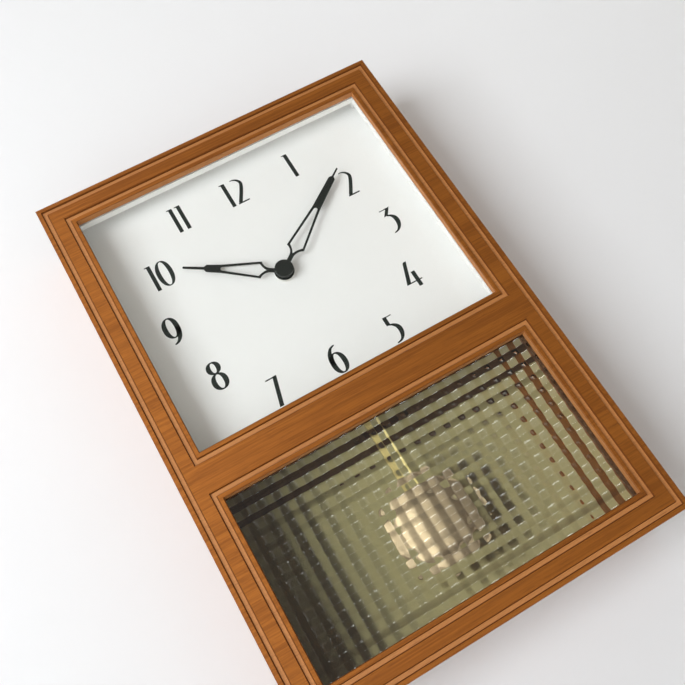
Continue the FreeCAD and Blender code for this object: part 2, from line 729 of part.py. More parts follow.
def shell_block(grow, y0, y1, radius):
    return rounded_box(-SHELL_HALF_WIDTH - grow, SHELL_HALF_WIDTH + grow, y0, y1,
                       DIAL_Z + SHELL_BOTTOM - grow, DIAL_Z + SHELL_TOP + grow, radius)


def lever_slot(y0, y1):
    low = DIAL_Z + SHELL_BOTTOM
    return box(-LEVER_SLOT_HALF, LEVER_SLOT_HALF, y0, y1, low, low + SHELL_WALL)


def corner_screw_holes():
    return [rod_y(x, z, CORNER_SCREW_R, INSIDE_FRONT_Y, SHELL_BACK_Y) for x, z in corner_screw_places()]


def movement_front_shell():
    shell = shell_block(0, SHELL_FRONT_Y, SHELL_SPLIT_Y, 3.0)
    shell = shell.cut(shell_block(-SHELL_WALL, INSIDE_FRONT_Y, SHELL_SPLIT_Y, 1.5))
    bosses = [rod_y(x, z, CORNER_BOSS_R, INSIDE_FRONT_Y, SHELL_SPLIT_Y) for x, z in corner_screw_places()]
    posts = [rod_y(x, z, PLATE_POST_R, INSIDE_FRONT_Y, PLATE_LAYER[0]) for x, z in plate_post_places()]
    pegs = [rod_y(x, z, PLATE_PEG_R, INSIDE_FRONT_Y, PLATE_LAYER[1]) for x, z in plate_post_places()]
    shell = fuse_all([shell] + bosses + posts + pegs)
    minute_x, minute_z = at_dial(MINUTE_ARBOR)
    holes = corner_screw_holes()
    holes.append(rod_y(0, DIAL_Z, BUSH_R + SNUG_GAP, SHELL_FRONT_Y, INSIDE_FRONT_Y))
    holes.append(rod_y(0, DIAL_Z, BUSH_FLANGE_R + SNUG_GAP, INSIDE_FRONT_Y - BUSH_FLANGE, INSIDE_FRONT_Y))
    holes.append(rod_y(minute_x, minute_z, 0.55, INSIDE_FRONT_Y - 1.0, INSIDE_FRONT_Y))
    holes.append(rod_y(0, DIAL_Z - PIVOT_DROP, PIN_R + SNUG_GAP, INSIDE_FRONT_Y - 1.0, INSIDE_FRONT_Y))
    holes.append(lever_slot(INSIDE_FRONT_Y, SHELL_SPLIT_Y))
    return cut_all(shell, holes)


def battery_bay_walls():
    middle = DIAL_Z - BATTERY_DROP
    inner_x = SHELL_HALF_WIDTH - SHELL_WALL
    upper = box(-inner_x, inner_x, SHELL_SPLIT_Y, INSIDE_BACK_Y,
                middle + BAY_HALF_HEIGHT, middle + BAY_HALF_HEIGHT + BAY_WALL)
    lower = box(-inner_x, inner_x, SHELL_SPLIT_Y, INSIDE_BACK_Y,
                middle - BAY_HALF_HEIGHT - BAY_WALL, middle - BAY_HALF_HEIGHT)
    return [upper, lower]


def movement_back_shell():
    shell = shell_block(0, SHELL_SPLIT_Y, SHELL_BACK_Y, 3.0)
    shell = shell.cut(shell_block(-SHELL_WALL, SHELL_SPLIT_Y, INSIDE_BACK_Y, 1.5))
    bosses = [rod_y(x, z, CORNER_BOSS_R, SHELL_SPLIT_Y, INSIDE_BACK_Y) for x, z in corner_screw_places()]
    pivots = [CENTRE, THIRD_ARBOR, INTERMEDIATE_ARBOR, ROTOR_ARBOR]
    for place in pivots:
        bosses.append(rod_y(*at_dial(place), 1.6, BOSS_TIP_Y, INSIDE_BACK_Y))
    for place in core_post_places():
        bosses.append(rod_y(*at_dial(place), 1.1, CORE_Y[1], INSIDE_BACK_Y))
    bosses.append(rod_y(0, DIAL_Z - MAGNET_DROP, COIL_POST_R, DRIVE_COIL_Y[0], INSIDE_BACK_Y))
    shell = fuse_all([shell] + bosses + battery_bay_walls())
    holes = corner_screw_holes()
    for place in pivots:
        holes.append(rod_y(*at_dial(place), PIVOT_R + RUNNING_GAP, BOSS_TIP_Y, BOSS_TIP_Y + 1.4))
    minute_x, minute_z = at_dial(MINUTE_ARBOR)
    holes.append(rod_y(minute_x, minute_z, MINUTE_ARBOR_R + RUNNING_GAP, INSIDE_BACK_Y, SHELL_BACK_Y))
    holes.append(rod_y(0, DIAL_Z - PIVOT_DROP, PIN_R + SNUG_GAP, INSIDE_BACK_Y, INSIDE_BACK_Y + 0.9))
    holes.append(lever_slot(SHELL_SPLIT_Y, LEVER_Y[1] + 0.6))
    middle = DIAL_Z - BATTERY_DROP
    bay_half = SHELL_HALF_WIDTH - SHELL_WALL
    holes.append(box(-bay_half, bay_half, INSIDE_BACK_Y, SHELL_BACK_Y,
                     middle - BAY_HALF_HEIGHT, middle + BAY_HALF_HEIGHT))
    return cut_all(shell, holes)


def movement_screws():
    screws = []
    for x, z in corner_screw_places():
        shank = rod_y(x, z, CORNER_SCREW_R, INSIDE_FRONT_Y + 0.7, SHELL_BACK_Y)
        head = rod_y(x, z, CORNER_SCREW_HEAD_R, SHELL_BACK_Y, SHELL_BACK_Y + CORNER_SCREW_HEAD)
        slot = box(x - CORNER_SCREW_HEAD_R, x + CORNER_SCREW_HEAD_R, SHELL_BACK_Y + 0.6,
                   SHELL_BACK_Y + CORNER_SCREW_HEAD, z - 0.25, z + 0.25)
        screws.append(shank.fuse(head).cut(slot).removeSplitter())
    return Part.makeCompound(screws)


def train_plate():
    left, right, bottom, top = TRAIN_PLATE
    corner_r = 2.0
    plate = rounded_box(left, right, PLATE_LAYER[0], PLATE_LAYER[1],
                        DIAL_Z + bottom, DIAL_Z + top, corner_r)
    holes = [rod_y(x, z, PLATE_PEG_R + SNUG_GAP, *PLATE_LAYER) for x, z in plate_post_places()]
    holes.append(rod_y(*at_dial(CENTRE), CENTRE_HUB_R + RUNNING_GAP, *PLATE_LAYER))
    holes.append(rod_y(*at_dial(MINUTE_ARBOR), MINUTE_ARBOR_R + RUNNING_GAP, *PLATE_LAYER))
    for place in (THIRD_ARBOR, INTERMEDIATE_ARBOR, ROTOR_ARBOR):
        holes.append(rod_y(*at_dial(place), PIVOT_R + RUNNING_GAP, *PLATE_LAYER))
    return cut_all(plate, holes)


# ---------------------------------------------------------------- electrical parts

def core_post_places():
    return [(8.2, 20.5), (22.1, 8.0)]


def dial_box(limits, y):
    left, right, bottom, top = limits
    return box(left, right, y[0], y[1], DIAL_Z + bottom, DIAL_Z + top)


def motor_core():
    core = dial_box(CORE_OUTER, CORE_Y).cut(dial_box(CORE_WINDOW, CORE_Y))
    return core.cut(rod_y(*at_dial(ROTOR_ARBOR), ROTOR_MAGNET_R + 0.6, *CORE_Y))


def motor_coil():
    """Winding round the core's top leg, between two bobbin cheeks."""
    left, right, bottom, top = MOTOR_COIL
    cheek = 0.8
    inset = 0.5
    winding = dial_box((left + cheek, right - cheek, bottom + inset, top - inset),
                       (MOTOR_COIL_Y[0] + inset, MOTOR_COIL_Y[1] - inset))
    cheeks = [dial_box((x, x + cheek, bottom, top), MOTOR_COIL_Y) for x in (left, right - cheek)]
    leg_gap = 0.05
    leg = dial_box((left, right, CORE_WINDOW[3] - leg_gap, CORE_OUTER[3] + leg_gap),
                   (CORE_Y[0] - leg_gap, CORE_Y[1] + leg_gap))
    return fuse_all([winding] + cheeks).cut(leg)


def circuit_board():
    return dial_box(CIRCUIT_BOARD, BOARD_Y)


def chip():
    body = dial_box(CHIP, (BOARD_Y[1], BOARD_Y[1] + 1.1))
    top_edges = [e for e in body.Edges if all(v.Y > BOARD_Y[1] + 1 for v in e.Vertexes)]
    return body.makeChamfer(0.4, top_edges)


def quartz_crystal():
    can_r = 1.0
    x = -20.0
    y = BOARD_Y[1] + can_r
    low = DIAL_Z + 6.0
    can = Part.makeCylinder(can_r, 6.0, Vector(x, y, low), Vector(0, 0, 1))
    lead_length = 1.5
    leads = [Part.makeCylinder(0.15, lead_length, Vector(x + dx, y, low - lead_length), Vector(0, 0, 1))
             for dx in (-0.4, 0.4)]
    return fuse_all([can] + leads)


def battery():
    """Round cell lying across the movement, with its raised end to the right."""
    z = DIAL_Z - BATTERY_DROP
    start = Vector(-BATTERY_HALF_LENGTH, BATTERY_Y, z)
    cell = Part.makeCylinder(BATTERY_R, 2 * BATTERY_HALF_LENGTH, start, Vector(1, 0, 0))
    edge = 0.4
    button_r = 2.7
    cell = cell.makeChamfer(edge, [e for e in cell.Edges if len(e.Vertexes) == 1])
    button_start = Vector(BATTERY_HALF_LENGTH, BATTERY_Y, z)
    button = Part.makeCylinder(button_r, BATTERY_BUTTON, button_start, Vector(1, 0, 0))
    return cell.fuse(button)


def battery_contact_plus():
    """A flat leaf against the cell's button, with a foot bent to the movement's side wall."""
    z = DIAL_Z - BATTERY_DROP
    x = BATTERY_HALF_LENGTH + BATTERY_BUTTON
    wall_x = SHELL_HALF_WIDTH - SHELL_WALL
    half_height = 5.0
    front, back = BATTERY_Y - CONTACT_HALF, BATTERY_Y + CONTACT_HALF
    leaf = box(x, x + CONTACT_SHEET, front, back, z - half_height, z + half_height)
    foot = box(x, wall_x, front, back, z + half_height - CONTACT_SHEET, z + half_height)
    return leaf.fuse(foot).removeSplitter()


def battery_contact_minus():
    """A leaf spring bent like a shallow roof, which presses on the flat end of the cell."""
    z = DIAL_Z - BATTERY_DROP
    wall_x = -(SHELL_HALF_WIDTH - SHELL_WALL)
    touch_x = -BATTERY_HALF_LENGTH
    foot = 6.0
    flat = 1.0
    inner_foot = foot - 0.6
    inner_flat = flat - 0.2
    upper = [(touch_x, flat), (wall_x + CONTACT_SHEET, foot), (wall_x, foot),
             (wall_x, inner_foot), (touch_x - CONTACT_SHEET, inner_flat)]
    lower = [(x, -up) for x, up in reversed(upper)]
    outline = [(x, z + up) for x, up in upper + lower]
    return prism_y(outline, BATTERY_Y - CONTACT_HALF, BATTERY_Y + CONTACT_HALF)


def rotor(pinion):
    """Magnet disc and pinion on one arbor."""
    magnet = rod_y(*at_dial(ROTOR_ARBOR), ROTOR_MAGNET_R, *ROTOR_MAGNET_Y)
    return fuse_all([arbor(ROTOR_ARBOR), magnet, pinion])


# ---------------------------------------------------------------- wheels

def going_train():
    """Motor to centre wheel, as a dictionary of node name to shape."""
    rotor_pinion, intermediate = mesh_pair(10, ROTOR_ARBOR, 50, INTERMEDIATE_ARBOR, INTERMEDIATE_LAYER)
    small, fourth = mesh_pair(8, INTERMEDIATE_ARBOR, 48, CENTRE, FOURTH_LAYER)
    fourth_pinion, third = mesh_pair(8, CENTRE, 60, THIRD_ARBOR, THIRD_LAYER)
    third_pinion, centre = mesh_pair(8, THIRD_ARBOR, 64, CENTRE, CENTRE_LAYER)
    intermediate = lighten(intermediate, INTERMEDIATE_ARBOR, 4.0, 1.4, 4, INTERMEDIATE_LAYER)
    fourth = lighten(fourth, CENTRE, 5.6, 2.0, 5, FOURTH_LAYER)
    third = lighten(third, THIRD_ARBOR, 5.6, 2.0, 5, THIRD_LAYER)
    centre = lighten(centre, CENTRE, 5.8, 2.0, 6, CENTRE_LAYER)
    return {
        "rotor": rotor(rotor_pinion),
        "intermediate_wheel": fuse_all([arbor(INTERMEDIATE_ARBOR), intermediate, small]),
        "fourth_wheel": fuse_all([fourth_arbor(), fourth, fourth_pinion]),
        "third_wheel": fuse_all([arbor(THIRD_ARBOR), third, third_pinion]),
        "centre_wheel": centre_wheel(centre),
    }


def fourth_arbor():
    front_y = CENTRE_LAYER[1] + 0.4
    body = rod_y(0, DIAL_Z, ARBOR_R, front_y, BOSS_TIP_Y - 0.1)
    front = rod_y(0, DIAL_Z, FOURTH_TIP_R, CENTRE_LAYER[0] + 0.2, front_y)
    back = rod_y(0, DIAL_Z, PIVOT_R, BOSS_TIP_Y - 0.1, BOSS_TIP_Y + 1.2)
    return body.fuse(front).fuse(back)


def centre_wheel(disc):
    """Wheel with a hub that runs in the train plate and a spigot that drives the cannon."""
    hub = rod_y(0, DIAL_Z, CENTRE_HUB_R, PLATE_LAYER[0], CENTRE_LAYER[0])
    spigot = rod_y(0, DIAL_Z, CENTRE_SPIGOT_R, MINUTE_LAYER[0] - 3.0, PLATE_LAYER[0])
    whole = fuse_all([disc, hub, spigot])
    return whole.cut(rod_y(0, DIAL_Z, FOURTH_TIP_R + RUNNING_GAP, CENTRE_LAYER[0], CENTRE_LAYER[1]))


def motion_work():
    """Cannon, minute wheel and hour wheel, as a dictionary of node name to shape."""
    cannon_teeth, minute_teeth = mesh_pair(12, CENTRE, 36, MINUTE_ARBOR, MINUTE_LAYER)
    minute_pinion, hour_teeth = mesh_pair(10, MINUTE_ARBOR, 40, CENTRE, HOUR_LAYER)
    minute_teeth = lighten(minute_teeth, MINUTE_ARBOR, 5.4, 2.0, 5, MINUTE_LAYER)
    tube = rod_y(0, DIAL_Z, CANNON_R, CANNON_END_Y, MINUTE_LAYER[1])
    bore = rod_y(0, DIAL_Z, CENTRE_SPIGOT_R + RUNNING_GAP, MINUTE_LAYER[0] - 3.2, MINUTE_LAYER[1])
    pipe = rod_y(0, DIAL_Z, HOUR_PIPE_R, HOUR_PIPE_END_Y, HOUR_LAYER[1])
    pipe_bore = rod_y(0, DIAL_Z, CANNON_R + RUNNING_GAP, HOUR_PIPE_END_Y, HOUR_LAYER[1])
    x, z = at_dial(MINUTE_ARBOR)
    stem = rod_y(x, z, MINUTE_ARBOR_R, HOUR_LAYER[0], KNOB_Y[1] - 1.0)
    front_pivot = rod_y(x, z, 0.5, INSIDE_FRONT_Y - 0.8, HOUR_LAYER[0])
    return {
        "cannon_pinion": tube.fuse(cannon_teeth).cut(bore).removeSplitter(),
        "hour_wheel": pipe.fuse(hour_teeth).cut(pipe_bore).removeSplitter(),
        "minute_wheel": fuse_all([stem, front_pivot, minute_pinion, minute_teeth]),
    }


def setting_knob():
    """Fluted thumb wheel pressed on the minute wheel's stem."""
    flutes = 20
    flute_r = 0.55
    x, z = at_dial(MINUTE_ARBOR)
    knob = rod_y(x, z, KNOB_R, *KNOB_Y)
    rim = [e for e in knob.Edges if len(e.Vertexes) == 1 and e.Vertexes[0].Y > KNOB_Y[1] - 0.1]
    knob = knob.makeChamfer(0.5, rim)
    knob = cut_all(knob, [rod_y(*polar((x, z), KNOB_R, 360.0 * i / flutes), flute_r, *KNOB_Y)
                          for i in range(flutes)])
    return knob.cut(rod_y(x, z, MINUTE_ARBOR_R + SNUG_GAP, KNOB_Y[0], KNOB_Y[1] - 1.0))


# ---------------------------------------------------------------- pendulum

def pivot_pin():
    return rod_y(0, DIAL_Z - PIVOT_DROP, PIN_R, INSIDE_FRONT_Y - 0.9, INSIDE_BACK_Y + 0.8)


def swing_lever():
    pivot_z = DIAL_Z - PIVOT_DROP
    magnet_z = DIAL_Z - MAGNET_DROP
    hook_z = DIAL_Z - LEVER_FOOT_DROP
    half = 2.5
    foot_half = 4.0
    parts = [rod_y(0, pivot_z, 3.2, *LEVER_Y), rod_y(0, magnet_z, MAGNET_R + 1.8, *LEVER_Y)]
    parts.append(box(-half, half, LEVER_Y[0], LEVER_Y[1], hook_z, pivot_z))
    parts.append(rounded_box(-foot_half, foot_half, LEVER_Y[0], LEVER_Y[1], hook_z - 3.5, hook_z + 4, 1.5))
    lever = fuse_all(parts)
    fork_gap = 0.1
    lever = lever.cut(box(-foot_half, foot_half, ROD_Y[0] - fork_gap, ROD_Y[1] + fork_gap,
                          hook_z - 3.5, hook_z + 3.2))
    peg = rod_y(0, hook_z, 1.0, ROD_Y[0] - 0.5, ROD_Y[1] + 0.5)
    lever = lever.cut(rod_y(0, pivot_z, PIN_R + RUNNING_GAP, *LEVER_Y))
    lever = lever.cut(rod_y(0, magnet_z, MAGNET_R + SNUG_GAP, *LEVER_Y))
    return lever.fuse(peg).removeSplitter()


def lever_magnet():
    return rod_y(0, DIAL_Z - MAGNET_DROP, MAGNET_R, *LEVER_Y)


def drive_coil():
    """Flat bobbin with its winding, on a post of the back shell."""
    z = DIAL_Z - MAGNET_DROP
    cheek = 0.8
    inner = COIL_POST_R + SNUG_GAP
    cheek_r = 10.0
    winding_r = 9.0
    front, back = DRIVE_COIL_Y
    profile = [(inner, front), (cheek_r, front), (cheek_r, front + cheek), (winding_r, front + cheek),
               (winding_r, back - cheek), (cheek_r, back - cheek), (cheek_r, back), (inner, back)]
    return spin(profile, 0, z)


def pendulum_rod():
    hook_z = DIAL_Z - LEVER_FOOT_DROP
    half = ROD_WIDTH / 2
    low = BOB_Z - BOB_RADIUS + 6.0
    strip = box(-half, half, ROD_Y[0], ROD_Y[1], low, hook_z).fuse(rod_y(0, hook_z, half, *ROD_Y))
    return strip.cut(rod_y(0, hook_z, 1.1, *ROD_Y)).removeSplitter()


def bob_shell():
    """Spun dish: a shallow dome with a narrow flat rim."""
    rise = 5.2
    rim = 1.6
    back_y = ROD_Y[0] - BOB_SHEET
    edge_r = BOB_RADIUS - rim
    outer_r = (edge_r ** 2 + rise ** 2) / (2 * rise)
    centre = Vector(0, back_y - BOB_SHEET - rise + outer_r, BOB_Z)
    dome = Part.makeSphere(outer_r, centre).cut(Part.makeSphere(outer_r - BOB_SHEET, centre))
    dome = dome.common(rod_y(0, BOB_Z, edge_r, back_y - 2 * rise, back_y))
    rim_ring = tube_y(0, BOB_Z, BOB_RADIUS, edge_r - 1.0, back_y - BOB_SHEET, back_y)
    return dome.fuse(rim_ring).removeSplitter()


def bob_back():
    """Flat disc behind the dish, with the rod on its back."""
    return rod_y(0, BOB_Z, BOB_RADIUS - 0.4, ROD_Y[0] - BOB_SHEET, ROD_Y[0])


# ---------------------------------------------------------------- all nodes

def all_nodes():
    nodes = {
        "front_panel": front_panel(),
        "case_left": case_side(-1),
        "case_right": case_side(1),
        "case_top": case_end(TOP_Z, INNER_TOP_Z),
        "case_bottom": case_end(BOTTOM_Z, INNER_BOTTOM_Z),
        "divider_shelf": divider_shelf(),
        "back_panel": back_panel(),
        "back_panel_screws": screw_group(back_screw_places(), 0, BACK_SCREW),
        "hanging_rail": hanging_rail(),
        "hanger_plate": hanger_plate(),
        "hanger_screws": screw_group(hanger_screw_places(), 0, HANGER_SCREW),
        "dial_glass": pane(DIAL_WINDOW, DIAL_GLASS),
        "checker_glass": pane(LOW_WINDOW, CHECKER_GLASS),
        "dial_surround": dial_surround(),
        "dial_plate": dial_plate(),
        "dial_screws": screw_group(dial_screw_places(), DIAL_BACK_Y, DIAL_SCREW),
        "hour_hand": clock_hand(HOUR_LANCE, HOUR_BOSS_Y, HOUR_HAND_ANGLE),
        "minute_hand": clock_hand(MINUTE_LANCE, MINUTE_BOSS_Y, MINUTE_HAND_ANGLE),
        "hand_cap": hand_cap(),
        "centre_bush": centre_bush(),
        "gasket": gasket(),
        "dial_washer": dial_washer(),
        "hex_nut": hex_nut(),
        "movement_front_shell": movement_front_shell(),
        "movement_back_shell": movement_back_shell(),
        "movement_screws": movement_screws(),
        "train_plate": train_plate(),
        "motor_core": motor_core(),
        "motor_coil": motor_coil(),
        "circuit_board": circuit_board(),
        "chip": chip(),
        "quartz_crystal": quartz_crystal(),
        "battery": battery(),
        "battery_contact_plus": battery_contact_plus(),
        "battery_contact_minus": battery_contact_minus(),
        "setting_knob": setting_knob(),
        "pivot_pin": pivot_pin(),
        "swing_lever": swing_lever(),
        "lever_magnet": lever_magnet(),
        "drive_coil": drive_coil(),
        "pendulum_rod": pendulum_rod(),
        "bob_shell": bob_shell(),
        "bob_back": bob_back(),
    }
    for side in ("left", "right", "top", "bottom"):
        nodes["glazing_bead_" + side] = glazing_bead(side)
    nodes.update(going_train())
    nodes.update(motion_work())
    return nodes


def main():
    os.makedirs("parts", exist_ok=True)
    for name, shape in all_nodes().items():
        if not shape.isValid():
            raise ValueError(name + " is not a valid shape")
        shape.exportStep(os.path.join("parts", name + ".step"))
        print(name, len(shape.Solids), round(shape.Volume, 1))


main()
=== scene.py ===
"""Looks of the wall clock: materials, printed numerals, prism glass, stage, lights and camera.

Metres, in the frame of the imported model: +Z up, the dial faces -Y, the back lies on y = 0.
"""
import json
import math

import bpy
from mathutils import Matrix, Vector


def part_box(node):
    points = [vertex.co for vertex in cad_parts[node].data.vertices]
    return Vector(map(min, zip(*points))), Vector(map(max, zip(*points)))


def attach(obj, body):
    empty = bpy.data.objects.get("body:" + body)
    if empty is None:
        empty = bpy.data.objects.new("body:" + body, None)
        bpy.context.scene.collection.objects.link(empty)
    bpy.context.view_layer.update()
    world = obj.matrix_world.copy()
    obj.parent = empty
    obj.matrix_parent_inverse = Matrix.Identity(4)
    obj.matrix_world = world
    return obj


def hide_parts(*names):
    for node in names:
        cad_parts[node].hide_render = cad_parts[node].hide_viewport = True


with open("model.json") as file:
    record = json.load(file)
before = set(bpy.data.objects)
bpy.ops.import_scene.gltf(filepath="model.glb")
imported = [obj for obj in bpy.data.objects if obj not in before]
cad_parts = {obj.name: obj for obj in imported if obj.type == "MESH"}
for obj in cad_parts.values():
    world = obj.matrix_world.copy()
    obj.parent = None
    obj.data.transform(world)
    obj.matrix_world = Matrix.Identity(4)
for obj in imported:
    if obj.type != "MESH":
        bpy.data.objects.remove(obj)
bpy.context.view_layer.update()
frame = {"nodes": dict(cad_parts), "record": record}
NODES = frame["nodes"]
MM = 0.001

# ---------------------------------------------------------------- places read from the model

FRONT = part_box("front_panel")
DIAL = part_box("dial_plate")
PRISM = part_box("checker_glass")
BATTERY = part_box("battery")
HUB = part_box("hand_cap")
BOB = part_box("bob_shell")
BOB_CENTRE = (BOB[0] + BOB[1]) / 2
DIAL_CENTRE = Vector(((HUB[0].x + HUB[1].x) / 2, DIAL[0].y, (HUB[0].z + HUB[1].z) / 2))

# ---------------------------------------------------------------- node helpers


class Nodes:
    """One node tree under construction, with short names for what the materials share."""

    def __init__(self, tree):
        self.tree = tree
        tree.nodes.clear()

    def add(self, kind, inputs=None, **settings):
        node = self.tree.nodes.new(kind)
        for key, value in settings.items():
            setattr(node, key, value)
        for key, value in (inputs or {}).items():
            self.put(node.inputs[key], value)
        return node

    def put(self, socket, value):
        """Links a socket to a node's output, or gives it a plain value."""
        if isinstance(value, bpy.types.NodeSocket):
            self.tree.links.new(value, socket)
        else:
            socket.default_value = value

    def place(self, stretch=(1, 1, 1), shift=(0, 0, 0)):
        """Object coordinates in metres, stretched: more cycles where the number is larger."""
        source = self.add("ShaderNodeTexCoord").outputs["Object"]
        node = self.add("ShaderNodeMapping", {"Vector": source, "Scale": stretch, "Location": shift})
        return node.outputs["Vector"]

    def axis(self, name):
        """One object coordinate, in metres."""
        source = self.add("ShaderNodeTexCoord").outputs["Object"]
        return self.add("ShaderNodeSeparateXYZ", {"Vector": source}).outputs[name]

    def noise(self, stretch, detail=4.0, rough=0.55, distortion=0.0, shift=(0, 0, 0)):
        vector = self.place(stretch, shift)
        node = self.add("ShaderNodeTexNoise", {"Vector": vector, "Scale": 1.0, "Detail": detail,
                                               "Roughness": rough, "Distortion": distortion})
        return node.outputs["Fac"]

    def spread(self, value, low_in, high_in, low=0.0, high=1.0, kind="LINEAR"):
        """Maps low_in..high_in to low..high, clamped."""
        node = self.add("ShaderNodeMapRange", {"Value": value, "From Min": low_in, "From Max": high_in,
                                               "To Min": low, "To Max": high}, interpolation_type=kind)
        return node.outputs["Result"]

    def calc(self, kind, a, b):
        node = self.add("ShaderNodeMath", operation=kind)
        self.put(node.inputs[0], a)
        self.put(node.inputs[1], b)
        return node.outputs[0]

    def mix(self, factor, a, b):
        """Colour a at factor 0, colour b at factor 1."""
        node = self.add("ShaderNodeMix", data_type="RGBA", blend_type="MIX")
        self.put(node.inputs["Factor"], factor)
        self.put(node.inputs[6], a)
        self.put(node.inputs[7], b)
        return node.outputs[2]

    def bump(self, height, strength, distance):
        return self.add("ShaderNodeBump", {"Height": height, "Strength": strength,
                                           "Distance": distance}).outputs["Normal"]


def rgb(r, g, b):
    return (r, g, b, 1.0)


def darker(colour, share):
    return (colour[0] * share, colour[1] * share, colour[2] * share, 1.0)


def new_material(name):
    material = bpy.data.materials.new(name)
    material.use_nodes = True
    return material, Nodes(material.node_tree)


def output_surface(n, shader):
    n.add("ShaderNodeOutputMaterial", {"Surface": shader})


# ---------------------------------------------------------------- wood

def along(axis, long_cycles, cross_cycles):
    """Noise stretch for grain that runs along an axis."""
    return tuple(long_cycles if i == axis else cross_cycles for i in range(3))


def grain(n, axis):
    """(broad bands, fine streaks, dark pores) for wood whose grain runs along an axis."""
    broad = n.noise(along(axis, 6, 90), detail=3, distortion=0.6)
    streaks = n.noise(along(axis, 22, 1100), detail=4, rough=0.62)
    pores = n.noise(along(axis, 95, 2300), detail=2, rough=0.5, shift=(0.3, 0.1, 0.7))
    return broad, streaks, pores


VENEER_LAYER = (0.12 * MM, 0.35 * MM)   # below the front face, the veneer gives way to the board
OUTER_EDGE = 0.45 * MM                  # veneered strip round the outside of the front board
WALL_SLANT = (0.15, 0.25)               # |normal.y| where a groove's wall starts to count
FLAT_SLANT = (0.9, 0.7)                 # |normal.y| where it no longer counts, because it faces forwards
# Painted shade: share of the dark wood colour that the grooves' steep walls take, as if in shadow
GROOVE_PAINTED_SHADE = 0.7
CUT_LUSTRE = 0.1


def cut_faces(n):
    """1 in the front board's grooves and round its windows, 0 on its front and its outer edges."""
    lo, hi = FRONT
    mask = n.spread(n.axis("Y"), lo.y + VENEER_LAYER[0], lo.y + VENEER_LAYER[1])
    for name, low, high in (("X", lo.x, hi.x), ("Z", lo.z, hi.z)):
        place = n.axis(name)
        mask = n.calc("MULTIPLY", mask, n.spread(place, low + OUTER_EDGE, low + 2 * OUTER_EDGE))
        mask = n.calc("MULTIPLY", mask, n.spread(place, high - OUTER_EDGE, high - 2 * OUTER_EDGE))
    return mask


def painted_groove_shade(n):
    """Painted shade mask: 1 on the steep walls of the grooves, where shade falls; 0 on faces that look
    straight forwards or sideways.
    """
    normal = n.add("ShaderNodeNewGeometry").outputs["Normal"]
    parts = n.add("ShaderNodeSeparateXYZ", {"Vector": normal})
    slant = n.calc("ABSOLUTE", parts.outputs["Y"], 0.0)
    return n.calc("MULTIPLY", n.spread(slant, *WALL_SLANT), n.spread(slant, *FLAT_SLANT))


def wood(name, axis, light, dark, pore, rough, lustre=0.0, exposed=None):
    """Wood with its grain along an axis.

    lustre is the metallic share that gives varnish its depth. exposed is (light, dark) for the cut faces
    of a veneered board; the steep walls of its grooves also get a painted shade.
    """
    material, n = new_material(name)
    broad, streaks, pores = grain(n, axis)
    tone = n.calc("ADD", n.calc("MULTIPLY", broad, 0.35), n.calc("MULTIPLY", streaks, 0.65))
    colour = n.mix(n.spread(tone, 0.36, 0.64, kind="SMOOTHSTEP"), dark, light)
    if exposed:
        cut_tone = n.mix(n.spread(tone, 0.36, 0.64), exposed[1], exposed[0])
        cut = cut_faces(n)
        # Painted shade: the grooves' steep walls get a darker wood colour, standing in for the shade
        # inside them
        cut_tone = n.mix(painted_groove_shade(n), cut_tone, darker(dark, GROOVE_PAINTED_SHADE))
        colour = n.mix(cut, colour, cut_tone)
        lustre = n.spread(cut, 0.0, 1.0, lustre, CUT_LUSTRE)
    pore_mask = n.spread(pores, 0.60, 0.72)
    colour = n.mix(n.calc("MULTIPLY", pore_mask, 0.55), colour, pore)
    roughness = n.spread(streaks, 0.3, 0.7, rough + 0.07, rough - 0.05)
    height = n.calc("SUBTRACT", streaks, n.calc("MULTIPLY", pore_mask, 0.8))
    shader = n.add("ShaderNodeBsdfPrincipled", {
        "Base Color": colour, "Roughness": roughness, "Metallic": lustre,
        "Normal": n.bump(height, 0.22, 0.12 * MM)})
    shader.inputs["Specular IOR Level"].default_value = 0.25
    output_surface(n, shader.outputs[0])
    return material


def board_back():
    """Hardboard, painted olive on the side that shows behind the pendulum."""
    material, n = new_material("back_board_paint")
    fibres = n.noise((900, 900, 900), detail=5, rough=0.7)
    patches = n.noise((14, 14, 9), detail=3)
    paint = n.mix(patches, rgb(0.60, 0.515, 0.255), rgb(0.66, 0.575, 0.30))
    hardboard = n.mix(fibres, rgb(0.20, 0.115, 0.055), rgb(0.33, 0.20, 0.105))
    outside = n.spread(n.axis("Y"), -1.2 * MM, -0.6 * MM)       # the board's outer face lies on y = 0
    shader = n.add("ShaderNodeBsdfPrincipled", {
        "Base Color": n.mix(outside, paint, hardboard),
        "Roughness": n.spread(fibres, 0.3, 0.7, 0.62, 0.8),
        "Normal": n.bump(fibres, 0.25, 0.1 * MM)})
    output_surface(n, shader.outputs[0])
    return material


# ---------------------------------------------------------------- other finishes

GLOSS_CHANGE = 0.08             # how far roughness wanders either way


